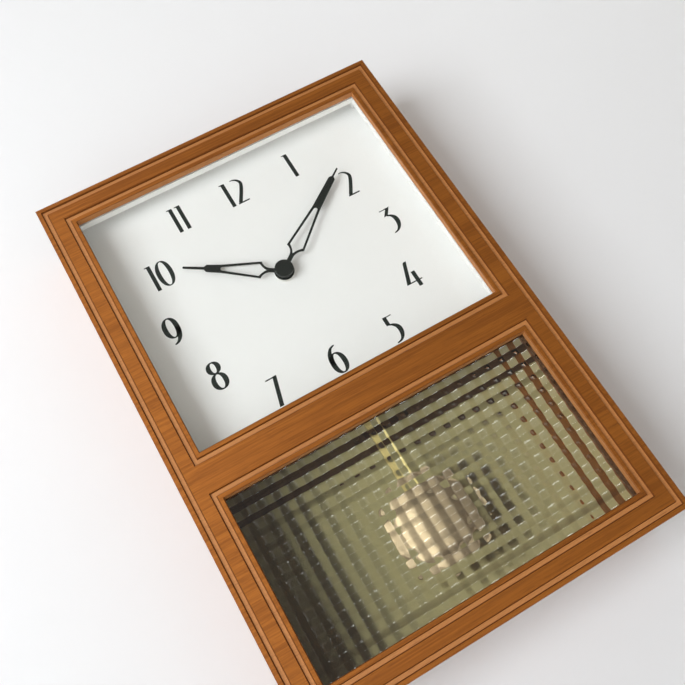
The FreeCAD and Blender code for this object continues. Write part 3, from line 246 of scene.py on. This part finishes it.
def finish(name, colour, metallic=0.0, rough=0.4, change=0.12, stretch=(60, 60, 60), fine=(900, 900, 900),
           grit=0.08, bump=0.02, coat=0.0, shine=0.5, spots=None):
    """A paint, plastic or metal: patchy tone, fine texture, uneven gloss, and spots of another colour."""
    material, n = new_material(name)
    patches = n.noise(stretch, detail=3)
    texture = n.noise(fine, detail=3, rough=0.6)
    blend = n.calc("ADD", n.calc("MULTIPLY", patches, 0.65), n.calc("MULTIPLY", texture, 0.35))
    tone = n.mix(n.spread(blend, 0.3, 0.7), darker(colour, 1 - change), darker(colour, 1 + grit))
    if spots:
        spot_mask = n.spread(n.noise((320, 320, 320), detail=2, shift=(0.7, 0.2, 0.4)), 0.66, 0.74)
        tone = n.mix(n.calc("MULTIPLY", spot_mask, 0.6), tone, spots)
    shader = n.add("ShaderNodeBsdfPrincipled", {
        "Base Color": tone, "Metallic": metallic,
        "Roughness": n.spread(blend, 0.3, 0.7, rough + GLOSS_CHANGE, rough - GLOSS_CHANGE),
        "Normal": n.bump(texture, 0.5, bump * MM)})
    shader.inputs["Coat Weight"].default_value = coat
    shader.inputs["Specular IOR Level"].default_value = shine
    output_surface(n, shader.outputs[0])
    return material


def spun(name, colour, centre, rough):
    """Metal turned on a lathe: fine rings about an axis along Y through centre."""
    material, n = new_material(name)
    offset = n.add("ShaderNodeVectorMath", {0: n.add("ShaderNodeTexCoord").outputs["Object"]},
                   operation="SUBTRACT")
    offset.inputs[1].default_value = centre
    flat = n.add("ShaderNodeVectorMath", {0: offset.outputs[0]}, operation="MULTIPLY")
    flat.inputs[1].default_value = (1, 0, 1)
    length = n.add("ShaderNodeVectorMath", {0: flat.outputs[0]}, operation="LENGTH").outputs["Value"]
    ring_place = n.add("ShaderNodeCombineXYZ", {"X": n.calc("MULTIPLY", length, 2600.0)}).outputs[0]
    rings = n.add("ShaderNodeTexNoise", {"Vector": ring_place, "Scale": 1.0, "Detail": 3.0}).outputs["Fac"]
    patches = n.noise((70, 70, 70), detail=3)
    tone = n.mix(n.calc("ADD", n.calc("MULTIPLY", rings, 0.5), n.calc("MULTIPLY", patches, 0.5)),
                 darker(colour, 0.84), darker(colour, 1.08))
    shader = n.add("ShaderNodeBsdfPrincipled", {
        "Base Color": tone, "Metallic": 1.0,
        "Roughness": n.spread(rings, 0.3, 0.7, rough - 0.06, rough + 0.08),
        "Normal": n.bump(rings, 0.25, 0.03 * MM)})
    output_surface(n, shader.outputs[0])
    return material


def wound_wire(name, colour, axis):
    """Turns of enamelled wire, lying across an axis."""
    material, n = new_material(name)
    wave = n.add("ShaderNodeTexWave", {"Vector": n.place(), "Scale": 900.0, "Distortion": 1.5,
                                       "Detail": 2.0, "Detail Scale": 2.0}, bands_direction=axis)
    turns = wave.outputs["Fac"]
    shader = n.add("ShaderNodeBsdfPrincipled", {
        "Base Color": n.mix(turns, darker(colour, 0.35), colour), "Metallic": 0.85,
        "Roughness": n.spread(turns, 0, 1, 0.45, 0.25), "Normal": n.bump(turns, 0.6, 0.08 * MM)})
    output_surface(n, shader.outputs[0])
    return material


def battery_jacket():
    """A plain cell without lettering: dark green body, copper band at the raised end, bare metal ends."""
    material, n = new_material("battery_wrap")
    x = n.axis("X")
    texture = n.noise((500, 500, 500), detail=3)
    body = n.mix(texture, rgb(0.012, 0.06, 0.035), rgb(0.02, 0.085, 0.05))
    band = n.mix(texture, rgb(0.50, 0.24, 0.10), rgb(0.62, 0.32, 0.14))
    end = n.mix(texture, rgb(0.52, 0.52, 0.50), rgb(0.66, 0.65, 0.62))
    low, high = BATTERY[0].x, BATTERY[1].x
    band_start = high - 13 * MM
    band_mask = n.spread(x, band_start, band_start + 0.2 * MM)
    tips = n.calc("MAXIMUM", n.spread(x, high - 1.9 * MM, high - 1.7 * MM),
                  n.spread(x, low + 0.6 * MM, low + 0.4 * MM))
    colour = n.mix(tips, n.mix(band_mask, body, band), end)
    shader = n.add("ShaderNodeBsdfPrincipled", {
        "Base Color": colour, "Metallic": n.calc("MAXIMUM", tips, n.calc("MULTIPLY", band_mask, 0.7)),
        "Roughness": n.spread(texture, 0.3, 0.7, 0.25, 0.38),
        "Normal": n.bump(texture, 0.2, 0.01 * MM)})
    shader.inputs["Coat Weight"].default_value = 0.3
    output_surface(n, shader.outputs[0])
    return material


def board_traces():
    """Circuit board: green mask with lighter lines where copper tracks run under it."""
    material, n = new_material("board_mask")
    tracks = n.add("ShaderNodeTexBrick", {
        "Vector": n.place(), "Scale": 160.0, "Mortar Size": 0.02, "Color1": rgb(0.012, 0.10, 0.045),
        "Color2": rgb(0.015, 0.12, 0.055), "Mortar": rgb(0.05, 0.22, 0.10)})
    shader = n.add("ShaderNodeBsdfPrincipled", {
        "Base Color": tracks.outputs["Color"],
        "Roughness": n.spread(n.noise((400, 400, 400)), 0.3, 0.7, 0.3, 0.45)})
    output_surface(n, shader.outputs[0])
    return material


def laminated(name, colour):
    """Stacked steel sheets, seen as fine lines on their edges."""
    material, n = new_material(name)
    lines = n.noise((40, 5200, 40), detail=1)
    shader = n.add("ShaderNodeBsdfPrincipled", {
        "Base Color": n.mix(lines, darker(colour, 0.7), colour), "Metallic": 0.9,
        "Roughness": n.spread(lines, 0.3, 0.7, 0.5, 0.3), "Normal": n.bump(lines, 0.3, 0.03 * MM)})
    output_surface(n, shader.outputs[0])
    return material


# ---------------------------------------------------------------- glass

SMEAR_ROUGHNESS = 0.006
LIGHT_THROUGH = 0.97            # share of light that a flat pane lets through


def glass(name, tint, wave_height, wave_cycles, index, scatter):
    """Clear glass that lets light straight through to what it covers, with faint waves from its making.

    scatter is the share of the room's light that the pane's relief turns aside.
    """
    material, n = new_material(name)
    waves = n.noise((wave_cycles,) * 3, detail=2)
    smears = n.noise((26, 26, 26), detail=4)
    shader = n.add("ShaderNodeBsdfPrincipled", {
        "Base Color": n.mix(smears, darker(tint, 0.985), tint),
        "Roughness": n.spread(smears, 0.3, 0.8, 0.0, SMEAR_ROUGHNESS),
        "Normal": n.bump(waves, 0.4, wave_height * MM)})
    shader.inputs["Transmission Weight"].default_value = 1.0
    shader.inputs["IOR"].default_value = index
    shader.inputs["Specular IOR Level"].default_value = 0.3
    path = n.add("ShaderNodeLightPath")
    straight = darker(tint, LIGHT_THROUGH)
    bounced = darker(tint, LIGHT_THROUGH - scatter)
    light = n.mix(path.outputs["Is Diffuse Ray"], straight, bounced)
    through = n.add("ShaderNodeBsdfTransparent", {"Color": light})
    passing = n.calc("MAXIMUM", path.outputs["Is Shadow Ray"], path.outputs["Is Diffuse Ray"])
    both = n.add("ShaderNodeMixShader", {"Fac": passing})
    n.put(both.inputs[1], shader.outputs[0])
    n.put(both.inputs[2], through.outputs[0])
    output_surface(n, both.outputs[0])
    return material


# ---------------------------------------------------------------- materials by slot

VENEER_LIGHT = rgb(0.31, 0.102, 0.013)
VENEER_DARK = rgb(0.205, 0.061, 0.0065)
VENEER_PORE = rgb(0.13, 0.034, 0.006)
VENEER = (VENEER_LIGHT, VENEER_DARK, VENEER_PORE)
EXPOSED = (rgb(0.50, 0.21, 0.064), rgb(0.42, 0.165, 0.047))
ALONG_X, ALONG_Z = 0, 2

SLOT_MATERIALS = {
    "veneer": wood("veneer_front", ALONG_X, *VENEER, rough=0.5, lustre=0.5, exposed=EXPOSED),
    "inner_wood": wood("inner_wood_dark", ALONG_X, rgb(0.17, 0.075, 0.035), rgb(0.10, 0.042, 0.02),
                       rgb(0.05, 0.02, 0.01), rough=0.6),
    "back_board": board_back(),
    "white_lacquer": finish("white_lacquer_paint", (0.88, 0.878, 0.86), rough=0.5, change=0.02,
                            grit=0.01, bump=0.01),
    "dial_white": finish("dial_paint", (0.85, 0.852, 0.84), rough=0.62, change=0.012, grit=0.008,
                         bump=0.008, stretch=(20, 20, 20)),
    "hand_black": finish("hand_lacquer", (0.010, 0.013, 0.011), rough=0.42, change=0.25, grit=0.3,
                         bump=0.01, shine=0.2),
    "clear_glass": glass("window_glass", rgb(0.995, 0.998, 0.992), 0.002, 30, index=1.2, scatter=0.0),
    "zinc_steel": finish("zinc_plate", (0.62, 0.60, 0.53), 1.0, 0.36, 0.15, bump=0.02,
                         spots=rgb(0.45, 0.40, 0.28)),
    "hanger_steel": finish("pressed_steel", (0.56, 0.56, 0.55), 1.0, 0.4, 0.15, (300, 40, 40),
                           bump=0.03),
    "brass": finish("turned_brass", (0.76, 0.55, 0.22), 1.0, 0.3, 0.15, bump=0.02),
    "rod_brass": finish("rod_strip", (0.92, 0.76, 0.34), 1.0, 0.42, 0.08, (900, 60, 30), bump=0.01),
    "bob_gold": spun("bob_spun", (0.40, 0.31, 0.21), BOB_CENTRE, 0.48),
    "white_nylon": finish("nylon", (0.74, 0.73, 0.69), rough=0.45, change=0.05, grit=0.03,
                          bump=0.015),
    "rubber": finish("gasket_rubber", (0.025, 0.025, 0.026), rough=0.75, change=0.3, bump=0.05),
    "shell_black": finish("shell_plastic", (0.022, 0.022, 0.024), rough=0.5, change=0.2, grit=0.3,
                          fine=(2200, 2200, 2200), bump=0.04),
    "train_plastic": finish("cream_plastic", (0.62, 0.60, 0.54), rough=0.42, bump=0.02),
    "wheel_plastic": finish("acetal", (0.78, 0.77, 0.72), rough=0.36, bump=0.015),
    "knob_plastic": finish("knob_red", (0.55, 0.035, 0.025), rough=0.32, change=0.15, bump=0.02, coat=0.2),
    "lamination": laminated("core_sheets", (0.46, 0.46, 0.47, 1.0)),
    "copper": wound_wire("coil_wire", (0.68, 0.28, 0.12, 1.0), "X"),
    "board_green": board_traces(),
    "chip_black": finish("chip_epoxy", (0.02, 0.02, 0.022), rough=0.55, change=0.2, bump=0.03),
    "can_steel": finish("crystal_can", (0.68, 0.68, 0.67), 1.0, 0.25, 0.1, bump=0.01),
    "battery_jacket": battery_jacket(),
    "spring_steel": finish("contact_nickel", (0.64, 0.62, 0.56), 1.0, 0.28, 0.1, bump=0.015),
    "pin_steel": finish("ground_pin", (0.62, 0.62, 0.62), 1.0, 0.2, 0.08, (40, 700, 40), bump=0.008),
    "magnet_steel": finish("magnet_nickel", (0.40, 0.40, 0.42), 1.0, 0.3, 0.15, bump=0.02),
    "case_wood": wood("case_ends_wood", ALONG_X, *VENEER, rough=0.46),
}
CASE_SIDE_WOOD = wood("case_sides_wood", ALONG_Z, *VENEER, rough=0.46)
CHECKER = glass("prism_glass", rgb(0.94, 0.948, 0.90), 0.004, 60, index=1.56, scatter=0.65)


def dress(node, material):
    """Gives one CAD node its material."""
    node.data.materials.clear()
    node.data.materials.append(material)


for part in frame["record"]["subparts"]:
    slot = part["material_slot"]
    if slot in SLOT_MATERIALS:
        dress(NODES[part["node"]], SLOT_MATERIALS[slot])
for side in ("case_left", "case_right"):
    dress(NODES[side], CASE_SIDE_WOOD)


HAND_EDGE = 0.08 * MM
WELD_GAP = 0.002 * MM
SHARP_ANGLE = math.radians(40)


def soften(name):
    """Rounds a node's sharp edges a little, so that they catch the light."""
    node = NODES[name]
    weld = node.modifiers.new("weld", "WELD")
    weld.merge_threshold = WELD_GAP
    bevel = node.modifiers.new("edge", "BEVEL")
    bevel.width = HAND_EDGE
    bevel.segments = 2
    bevel.limit_method = "ANGLE"
    bevel.angle_limit = SHARP_ANGLE


for name in ("hour_hand", "minute_hand"):
    soften(name)


# ---------------------------------------------------------------- numerals

# Millimetres
NUMERAL_HEIGHT = 20.5
STEM = 2.7
INK_THICK = 0.03
SPAN_STEPS = 8                  # short lines per span of a pen stroke
BOWL_STEPS = 48
SQUARENESS = 2.15               # 2 for a true ellipse


def curve_points(points):
    """A smooth line (Catmull-Rom) through (x, z, width) points."""
    out = []
    for i in range(len(points) - 1):
        before = points[max(i - 1, 0)]
        a, b = points[i], points[i + 1]
        after = points[min(i + 2, len(points) - 1)]
        for step in range(SPAN_STEPS):
            t = step / SPAN_STEPS
            out.append(tuple(
                0.5 * (2 * a[k] + (b[k] - before[k]) * t
                       + (2 * before[k] - 5 * a[k] + 4 * b[k] - after[k]) * t * t
                       + (3 * a[k] - before[k] - 3 * b[k] + after[k]) * t ** 3)
                for k in range(3)))
    return out + [points[-1]]


def pen_stroke(points):
    """Outline of a stroke of changing width, as one closed polygon."""
    line = curve_points(points)
    left, right = [], []
    for i, (x, z, width) in enumerate(line):
        ahead = line[min(i + 1, len(line) - 1)]
        behind = line[max(i - 1, 0)]
        dx, dz = ahead[0] - behind[0], ahead[1] - behind[1]
        size = math.hypot(dx, dz) or 1.0
        nx, nz = -dz / size * width / 2, dx / size * width / 2
        left.append((x + nx, z + nz))
        right.append((x - nx, z - nz))
    return [left + right[::-1]]


def ellipse(x, z, half_w, half_h):
    """A slightly squared ellipse."""
    power = 2 / SQUARENESS
    points = []
    for i in range(BOWL_STEPS):
        angle = 2 * math.pi * i / BOWL_STEPS
        c, s = math.cos(angle), math.sin(angle)
        points.append((x + half_w * math.copysign(abs(c) ** power, c),
                       z + half_h * math.copysign(abs(s) ** power, s)))
    return points


def bowl(x, z, half_w, half_h, side, thin):
    """Ring whose sides are thick and whose top and bottom are thin: outer and inner outline."""
    return [ellipse(x, z, half_w, half_h), ellipse(x, z, half_w - side, half_h - thin)]


def bar(x0, z0, x1, z1):
    """Upright rectangle."""
    return [[(x0, z0), (x1, z0), (x1, z1), (x0, z1)]]


def digit_strokes(digit):
    """Islands of one digit, each a list of outlines, in millimetres from its lower left corner."""
    top = NUMERAL_HEIGHT
    if digit == "0":
        return [bowl(5.6, top / 2, 5.6, top / 2, 3.0, 0.85)]
    if digit == "1":
        flag = [[(0.1, top), (-1.5, top - 0.15), (-1.3, top - 0.75), (0.1, top - 0.95)]]
        return [bar(0, 0, STEM, top), flag]
    if digit == "2":
        back = [(2.4, top - 0.55, 0.5), (4.4, top - 0.5, 0.9), (7.0, top - 1.9, 1.5),
                (8.6, top - 4.6, 2.1), (8.0, top - 7.6, 2.5), (5.4, 7.6, 2.6), (1.6, 0.9, 2.6)]
        foot = [[(-0.1, 0.0), (0.0, 1.1), (8.4, 1.0), (8.5, 0.0)]]
        return [pen_stroke(back), foot]
    if digit == "3":
        flag = [[(0.0, top - 0.35), (0.3, top - 1.05), (5.8, top - 1.0), (5.8, top - 0.1),
                 (2.6, top - 0.4)]]
        slant = [[(5.2, top - 0.35), (8.2, top), (4.3, 14.9), (1.0, 14.3)]]
        belly = [(3.2, 14.75, 0.9), (5.8, 13.5, 1.7), (7.5, 11.0, 2.9), (7.85, 7.9, 3.2),
                 (6.9, 4.2, 2.5), (4.5, 1.4, 1.4), (1.3, 0.4, 0.7)]
        return [flag, slant, pen_stroke(belly)]
    if digit == "4":
        slant = [[(0.0, 4.1), (3.0, 4.1), (8.6, top), (6.6, top), (5.8, top - 0.6)]]
        return [slant, bar(0.3, 4.1, 11.8, 4.95), bar(7.2, 0, 10.0, 11.9)]
    if digit == "5":
        flag = [[(0.2, top), (0.2, top - 0.95), (6.4, top - 0.75), (6.8, top), (3.6, top - 0.2)]]
        belly = [(1.4, 14.3, 0.7), (4.0, 13.4, 1.6), (6.3, 11.1, 2.8), (7.0, 8.0, 3.2),
                 (6.2, 4.3, 2.6), (4.0, 1.5, 1.5), (0.4, 0.45, 0.8)]
        return [flag, bar(0.2, 14.0, 2.9, top), pen_stroke(belly)]
    if digit == "6":
        tail = [(1.65, 7.6, 3.3), (1.8, 11.6, 3.2), (2.9, 15.6, 2.7), (5.2, 18.9, 1.7), (8.4, 20.1, 0.8)]
        return [bowl(5.6, 7.7, 5.6, 7.7, 3.35, 0.95), pen_stroke(tail)]
    if digit == "7":
        slant = [[(0.1, 0.0), (3.0, 0.0), (8.1, top), (5.6, top), (5.1, top - 1.0)]]
        return [slant, bar(0.0, top - 1.05, 6.6, top - 0.15)]
    if digit == "8":
        return [bowl(5.6, 6.0, 5.6, 6.0, 3.4, 0.95), bowl(5.6, 16.0, 4.85, 4.5, 3.2, 0.95)]
    # What is left is the 9
    tail = [(9.7, 12.6, 3.3), (9.5, 8.6, 3.2), (8.3, 4.6, 2.8), (6.0, 1.7, 1.8), (3.2, 0.6, 1.0)]
    return [bowl(5.65, 12.7, 5.65, 7.8, 3.35, 0.95), pen_stroke(tail)]


# Lower left corner of each digit, in millimetres right of and above the dial's centre
HOURS = {
    "12": [("1", -6.2, 62.9), ("2", -1.5, 62.9)],
    "1": [("1", 43.4, 62.9)],
    "2": [("2", 67.6, 30.1)],
    "3": [("3", 78.7, -10.8)],
    "4": [("4", 66.0, -53.2)],
    "5": [("5", 38.8, -81.4)],
    "6": [("6", -5.9, -81.4)],
    "7": [("7", -47.6, -81.2)],
    "8": [("8", -77.7, -52.7)],
    "9": [("9", -88.9, -10.5)],
    "10": [("1", -78.8, 30.3), ("0", -74.8, 30.2)],
    "11": [("1", -46.6, 63.1), ("1", -40.7, 63.1)],
}


def printed(name, outlines, x, z):
    """One island of ink on the dial: flat outlines, given a little thickness."""
    curve = bpy.data.curves.new(name, "CURVE")
    curve.dimensions = "2D"
    curve.fill_mode = "BOTH"
    curve.extrude = INK_THICK / 2 * MM
    for outline in outlines:
        spline = curve.splines.new("POLY")
        spline.points.add(len(outline) - 1)
        for point, (px, pz) in zip(spline.points, outline):
            point.co = ((x + px) * MM, (z + pz) * MM, 0, 1)
        spline.use_cyclic_u = True
    flat = bpy.data.objects.new(name + "_curve", curve)
    mesh = bpy.data.meshes.new_from_object(flat)
    bpy.data.objects.remove(flat)
    upright = Matrix.Rotation(math.radians(90), 4, "X")
    lift = Matrix.Translation(DIAL_CENTRE + Vector((0, -INK_THICK / 2 * MM, 0)))
    mesh.transform(lift @ upright)
    return mesh


def join_meshes(name, meshes):
    """One object from several meshes."""
    verts, faces = [], []
    for mesh in meshes:
        start = len(verts)
        verts += [v.co[:] for v in mesh.vertices]
        faces += [[start + i for i in p.vertices] for p in mesh.polygons]
        bpy.data.meshes.remove(mesh)
    data = bpy.data.meshes.new(name)
    data.from_pydata(verts, [], faces)
    data.update()
    obj = bpy.data.objects.new(name, data)
    bpy.context.scene.collection.objects.link(obj)
    return obj


def numerals(ink):
    """All twelve hours, one piece each."""
    for hour, digits in HOURS.items():
        meshes = []
        for digit, x, z in digits:
            meshes += [printed("hour", island, x, z) for island in digit_strokes(digit)]
        whole = join_meshes("numeral_" + hour, meshes)
        whole.data.materials.append(ink)
        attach(whole, "case")


numerals(finish("numeral_ink", (0.012, 0.017, 0.014), rough=0.6, change=0.2, grit=0.25, bump=0.004,
                shine=0.15))

# ---------------------------------------------------------------- prism glass

CELL_W = 10.35 * MM
CELL_H = 9.7 * MM
BORDER_X = 3.45 * MM            # one border between cells, right of the dial's centre line
BORDER_Z = FRONT[0].z + 132.8 * MM
RELIEF = 3.2 * MM
CREST = 0.06                    # rounding of the ridges between cells, in half cells
CURVE = 1.2                     # 1 for straight slopes, 2 for round dishes
BLEND = 0.1                     # 0 for crossing ribs, 1 for separate dishes with level borders
# Mesh lines out from a border, in half cells: close together where the ridge turns
LINES = (0.0, 0.02, 0.06, 0.15, 0.3, 0.47, 0.65, 0.83, 1.0)
END_GAP = 0.05 * MM             # no mesh line lies nearer than this to the pane's edge


def from_middle(place, border, pitch):
    """0 in a cell's middle and 1 on its borders, rounded off at the borders."""
    far = abs(2 * ((place - border) / pitch % 1.0) - 1)
    return 1 - (math.hypot(1 - far, CREST) - CREST)


def cell_height(x, z):
    """A square hollow in every cell: 0 in its middle and 1 at its corners."""
    u = from_middle(x, BORDER_X, CELL_W) ** CURVE
    v = from_middle(z, BORDER_Z, CELL_H) ** CURVE
    return (u + v - BLEND * u * v) / (2 - BLEND)


def grid_lines(low, high, border, pitch):
    """Positions from low to high, close together at every cell border."""
    steps = sorted({side * line for line in LINES for side in (-1, 1)} - {-1.0})
    first = math.floor((low - border) / pitch) - 1
    last = math.ceil((high - border) / pitch) + 1
    cells = range(first, last + 1)
    places = [border + pitch * (cell + step / 2) for cell in cells for step in steps]
    return [low] + [place for place in places if low + END_GAP < place < high - END_GAP] + [high]


def rim_of(rows, across):
    """Indices round the edge of a grid of rows by across points, starting along its first row."""
    bottom = list(range(across))
    right = [j * across + across - 1 for j in range(1, rows)]
    top = [(rows - 1) * across + i for i in range(across - 2, -1, -1)]
    left = [j * across for j in range(rows - 2, 0, -1)]
    return bottom + right + top + left


def pane_mesh():
    """Mesh of the pane, and how many of its faces belong to the relief."""
    lo, hi = PRISM
    xs = grid_lines(lo.x, hi.x, BORDER_X, CELL_W)
    zs = grid_lines(lo.z, hi.z, BORDER_Z, CELL_H)
    across, rows = len(xs), len(zs)
    base_y = hi.y - RELIEF
    verts = [(x, base_y + RELIEF * cell_height(x, z), z) for z in zs for x in xs]
    faces = []
    for j in range(rows - 1):
        for i in range(across - 1):
            a = j * across + i
            faces.append((a + across, a + across + 1, a + 1, a))
    rim = rim_of(rows, across)
    start, count = len(verts), len(rim)
    verts += [(verts[i][0], lo.y, verts[i][2]) for i in rim]
    for k in range(count):
        following = (k + 1) % count
        faces.append((rim[k], rim[following], start + following, start + k))
    faces.append([start + k for k in range(count)])
    mesh = bpy.data.meshes.new("prism_pane")
    mesh.from_pydata(verts, [], faces)
    mesh.update()
    return mesh, (rows - 1) * (across - 1)


def prism_pane(material):
    """Pane with a smooth face to the front and rows of square hollows on its back."""
    mesh, relief_faces = pane_mesh()
    for index, polygon in enumerate(mesh.polygons):
        polygon.use_smooth = index < relief_faces
    mesh.materials.append(material)
    pane = bpy.data.objects.new("prism_pane", mesh)
    bpy.context.scene.collection.objects.link(pane)
    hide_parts("checker_glass")
    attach(pane, "case")


prism_pane(CHECKER)

# ---------------------------------------------------------------- stage

WALL_GAP = 0.3 * MM
FLOOR_DROP = 0.75
ROOM = 2.6
PAINTED_SHADE_HEIGHTS = (-0.42, 0.08)            # heights between which a painted shade darkens the wall towards its lower end


def plane(name, corners, material):
    """A flat square of the stage."""
    mesh = bpy.data.meshes.new(name)
    mesh.from_pydata(corners, [], [(0, 1, 2, 3)])
    mesh.materials.append(material)
    obj = bpy.data.objects.new(name, mesh)
    bpy.context.scene.collection.objects.link(obj)
    return obj


def stage_paint(name, colour, one_sided, painted_shade_share):
    """Matt paint with a painted shade: its colour falls to painted_shade_share of itself towards the
    clock's lower end.

    A one-sided paint can't be seen from behind.
    """
    material, n = new_material(name)
    patches = n.noise((3, 3, 3), detail=2)
    even = n.mix(patches, darker(colour, 0.985), darker(colour, 1.0))
    # Painted shade: the colour darkens towards the lower end, standing in for light that weakens downwards
    height = n.spread(n.axis("Z"), *PAINTED_SHADE_HEIGHTS)
    shader = n.add("ShaderNodeBsdfPrincipled", {
        "Base Color": n.mix(height, darker(colour, painted_shade_share), even), "Roughness": 0.8})
    surface = shader.outputs[0]
    if one_sided:
        back = n.add("ShaderNodeNewGeometry").outputs["Backfacing"]
        both = n.add("ShaderNodeMixShader", {"Fac": back})
        n.put(both.inputs[1], surface)
        n.put(both.inputs[2], n.add("ShaderNodeBsdfTransparent").outputs[0])
        surface = both.outputs[0]
    output_surface(n, surface)
    return material


# The wall carries a painted shade that darkens it towards the bottom
wall = plane("wall", [(-ROOM, WALL_GAP, -FLOOR_DROP), (ROOM, WALL_GAP, -FLOOR_DROP),
                      (ROOM, WALL_GAP, ROOM), (-ROOM, WALL_GAP, ROOM)],
             stage_paint("wall_paint_and_shade", (0.87, 0.872, 0.885), one_sided=True, painted_shade_share=0.79))
wall.visible_shadow = False
plane("floor", [(-ROOM, -ROOM, -FLOOR_DROP), (ROOM, -ROOM, -FLOOR_DROP),
                (ROOM, ROOM, -FLOOR_DROP), (-ROOM, ROOM, -FLOOR_DROP)],
      stage_paint("floor_paint", (0.86, 0.86, 0.86), one_sided=False, painted_shade_share=1.0))


# ---------------------------------------------------------------- lights

MIDDLE = (0, -0.05, -0.15)


def softbox(name, place, width, height, power, colour=(1, 1, 1)):
    """Rectangular light that looks at the clock's middle. Power is in watts."""
    light = bpy.data.lights.new(name, "AREA")
    light.shape = "RECTANGLE"
    light.size = width
    light.size_y = height
    light.energy = power
    light.color = colour
    obj = bpy.data.objects.new(name, light)
    bpy.context.scene.collection.objects.link(obj)
    obj.location = place
    obj.rotation_mode = "QUATERNION"
    obj.rotation_quaternion = (Vector(MIDDLE) - Vector(place)).to_track_quat("-Z", "Y")
    return obj


softbox("key", (-1.50, -1.66, -0.16), width=1.26, height=1.0, power=39, colour=(0.925, 0.965, 1.0))
# Seen in reflections only
sheen = softbox("sheen", (-0.75, -1.75, 0.55), width=1.0, height=2.0, power=24)
sheen.visible_diffuse = False
sheen.visible_transmission = False
softbox("back_left", (-1.2, 1.6, 0.7), width=1.2, height=1.2, power=26)
softbox("back_right", (1.4, 1.3, 0.3), width=1.0, height=1.2, power=14)

world = bpy.data.worlds.new("studio")
bpy.context.scene.world = world
world.use_nodes = True
sky = Nodes(world.node_tree)
direction = sky.add("ShaderNodeTexCoord").outputs["Generated"]
parts = sky.add("ShaderNodeSeparateXYZ", {"Vector": direction})
sideways = sky.spread(parts.outputs["X"], -0.9, 0.9, 0.45, 0.29)     # brighter on the left
upward = sky.spread(parts.outputs["Z"], -0.7, 0.7, 0.85, 1.2)        # and above
background = sky.add("ShaderNodeBackground", {"Color": rgb(1.0, 0.94, 0.85),
                                              "Strength": sky.calc("MULTIPLY", sideways, upward)})
sky.add("ShaderNodeOutputWorld", {"Surface": background.outputs[0]})

# ---------------------------------------------------------------- camera

CAMERA_PLACE = Vector((-0.101105, -0.56603, -0.336615))
RIGHT = Vector((0.86552, 0.00373, -0.50086)).normalized()
FORWARD = Vector((0.19181, 0.92128, 0.33832)).normalized()
UP = RIGHT.cross(FORWARD).normalized()

camera_data = bpy.data.cameras.new("camera")
camera_data.lens = 46.38
camera_data.sensor_width = 36.0
camera_data.clip_start = 0.01
camera = bpy.data.objects.new("camera", camera_data)
bpy.context.scene.collection.objects.link(camera)
bpy.context.scene.camera = camera
camera.matrix_world = Matrix((
    (RIGHT.x, UP.x, -FORWARD.x, CAMERA_PLACE.x),
    (RIGHT.y, UP.y, -FORWARD.y, CAMERA_PLACE.y),
    (RIGHT.z, UP.z, -FORWARD.z, CAMERA_PLACE.z),
    (0, 0, 0, 1)))

bpy.context.scene.view_settings.view_transform = "Standard"
bpy.context.scene.view_settings.look = "None"
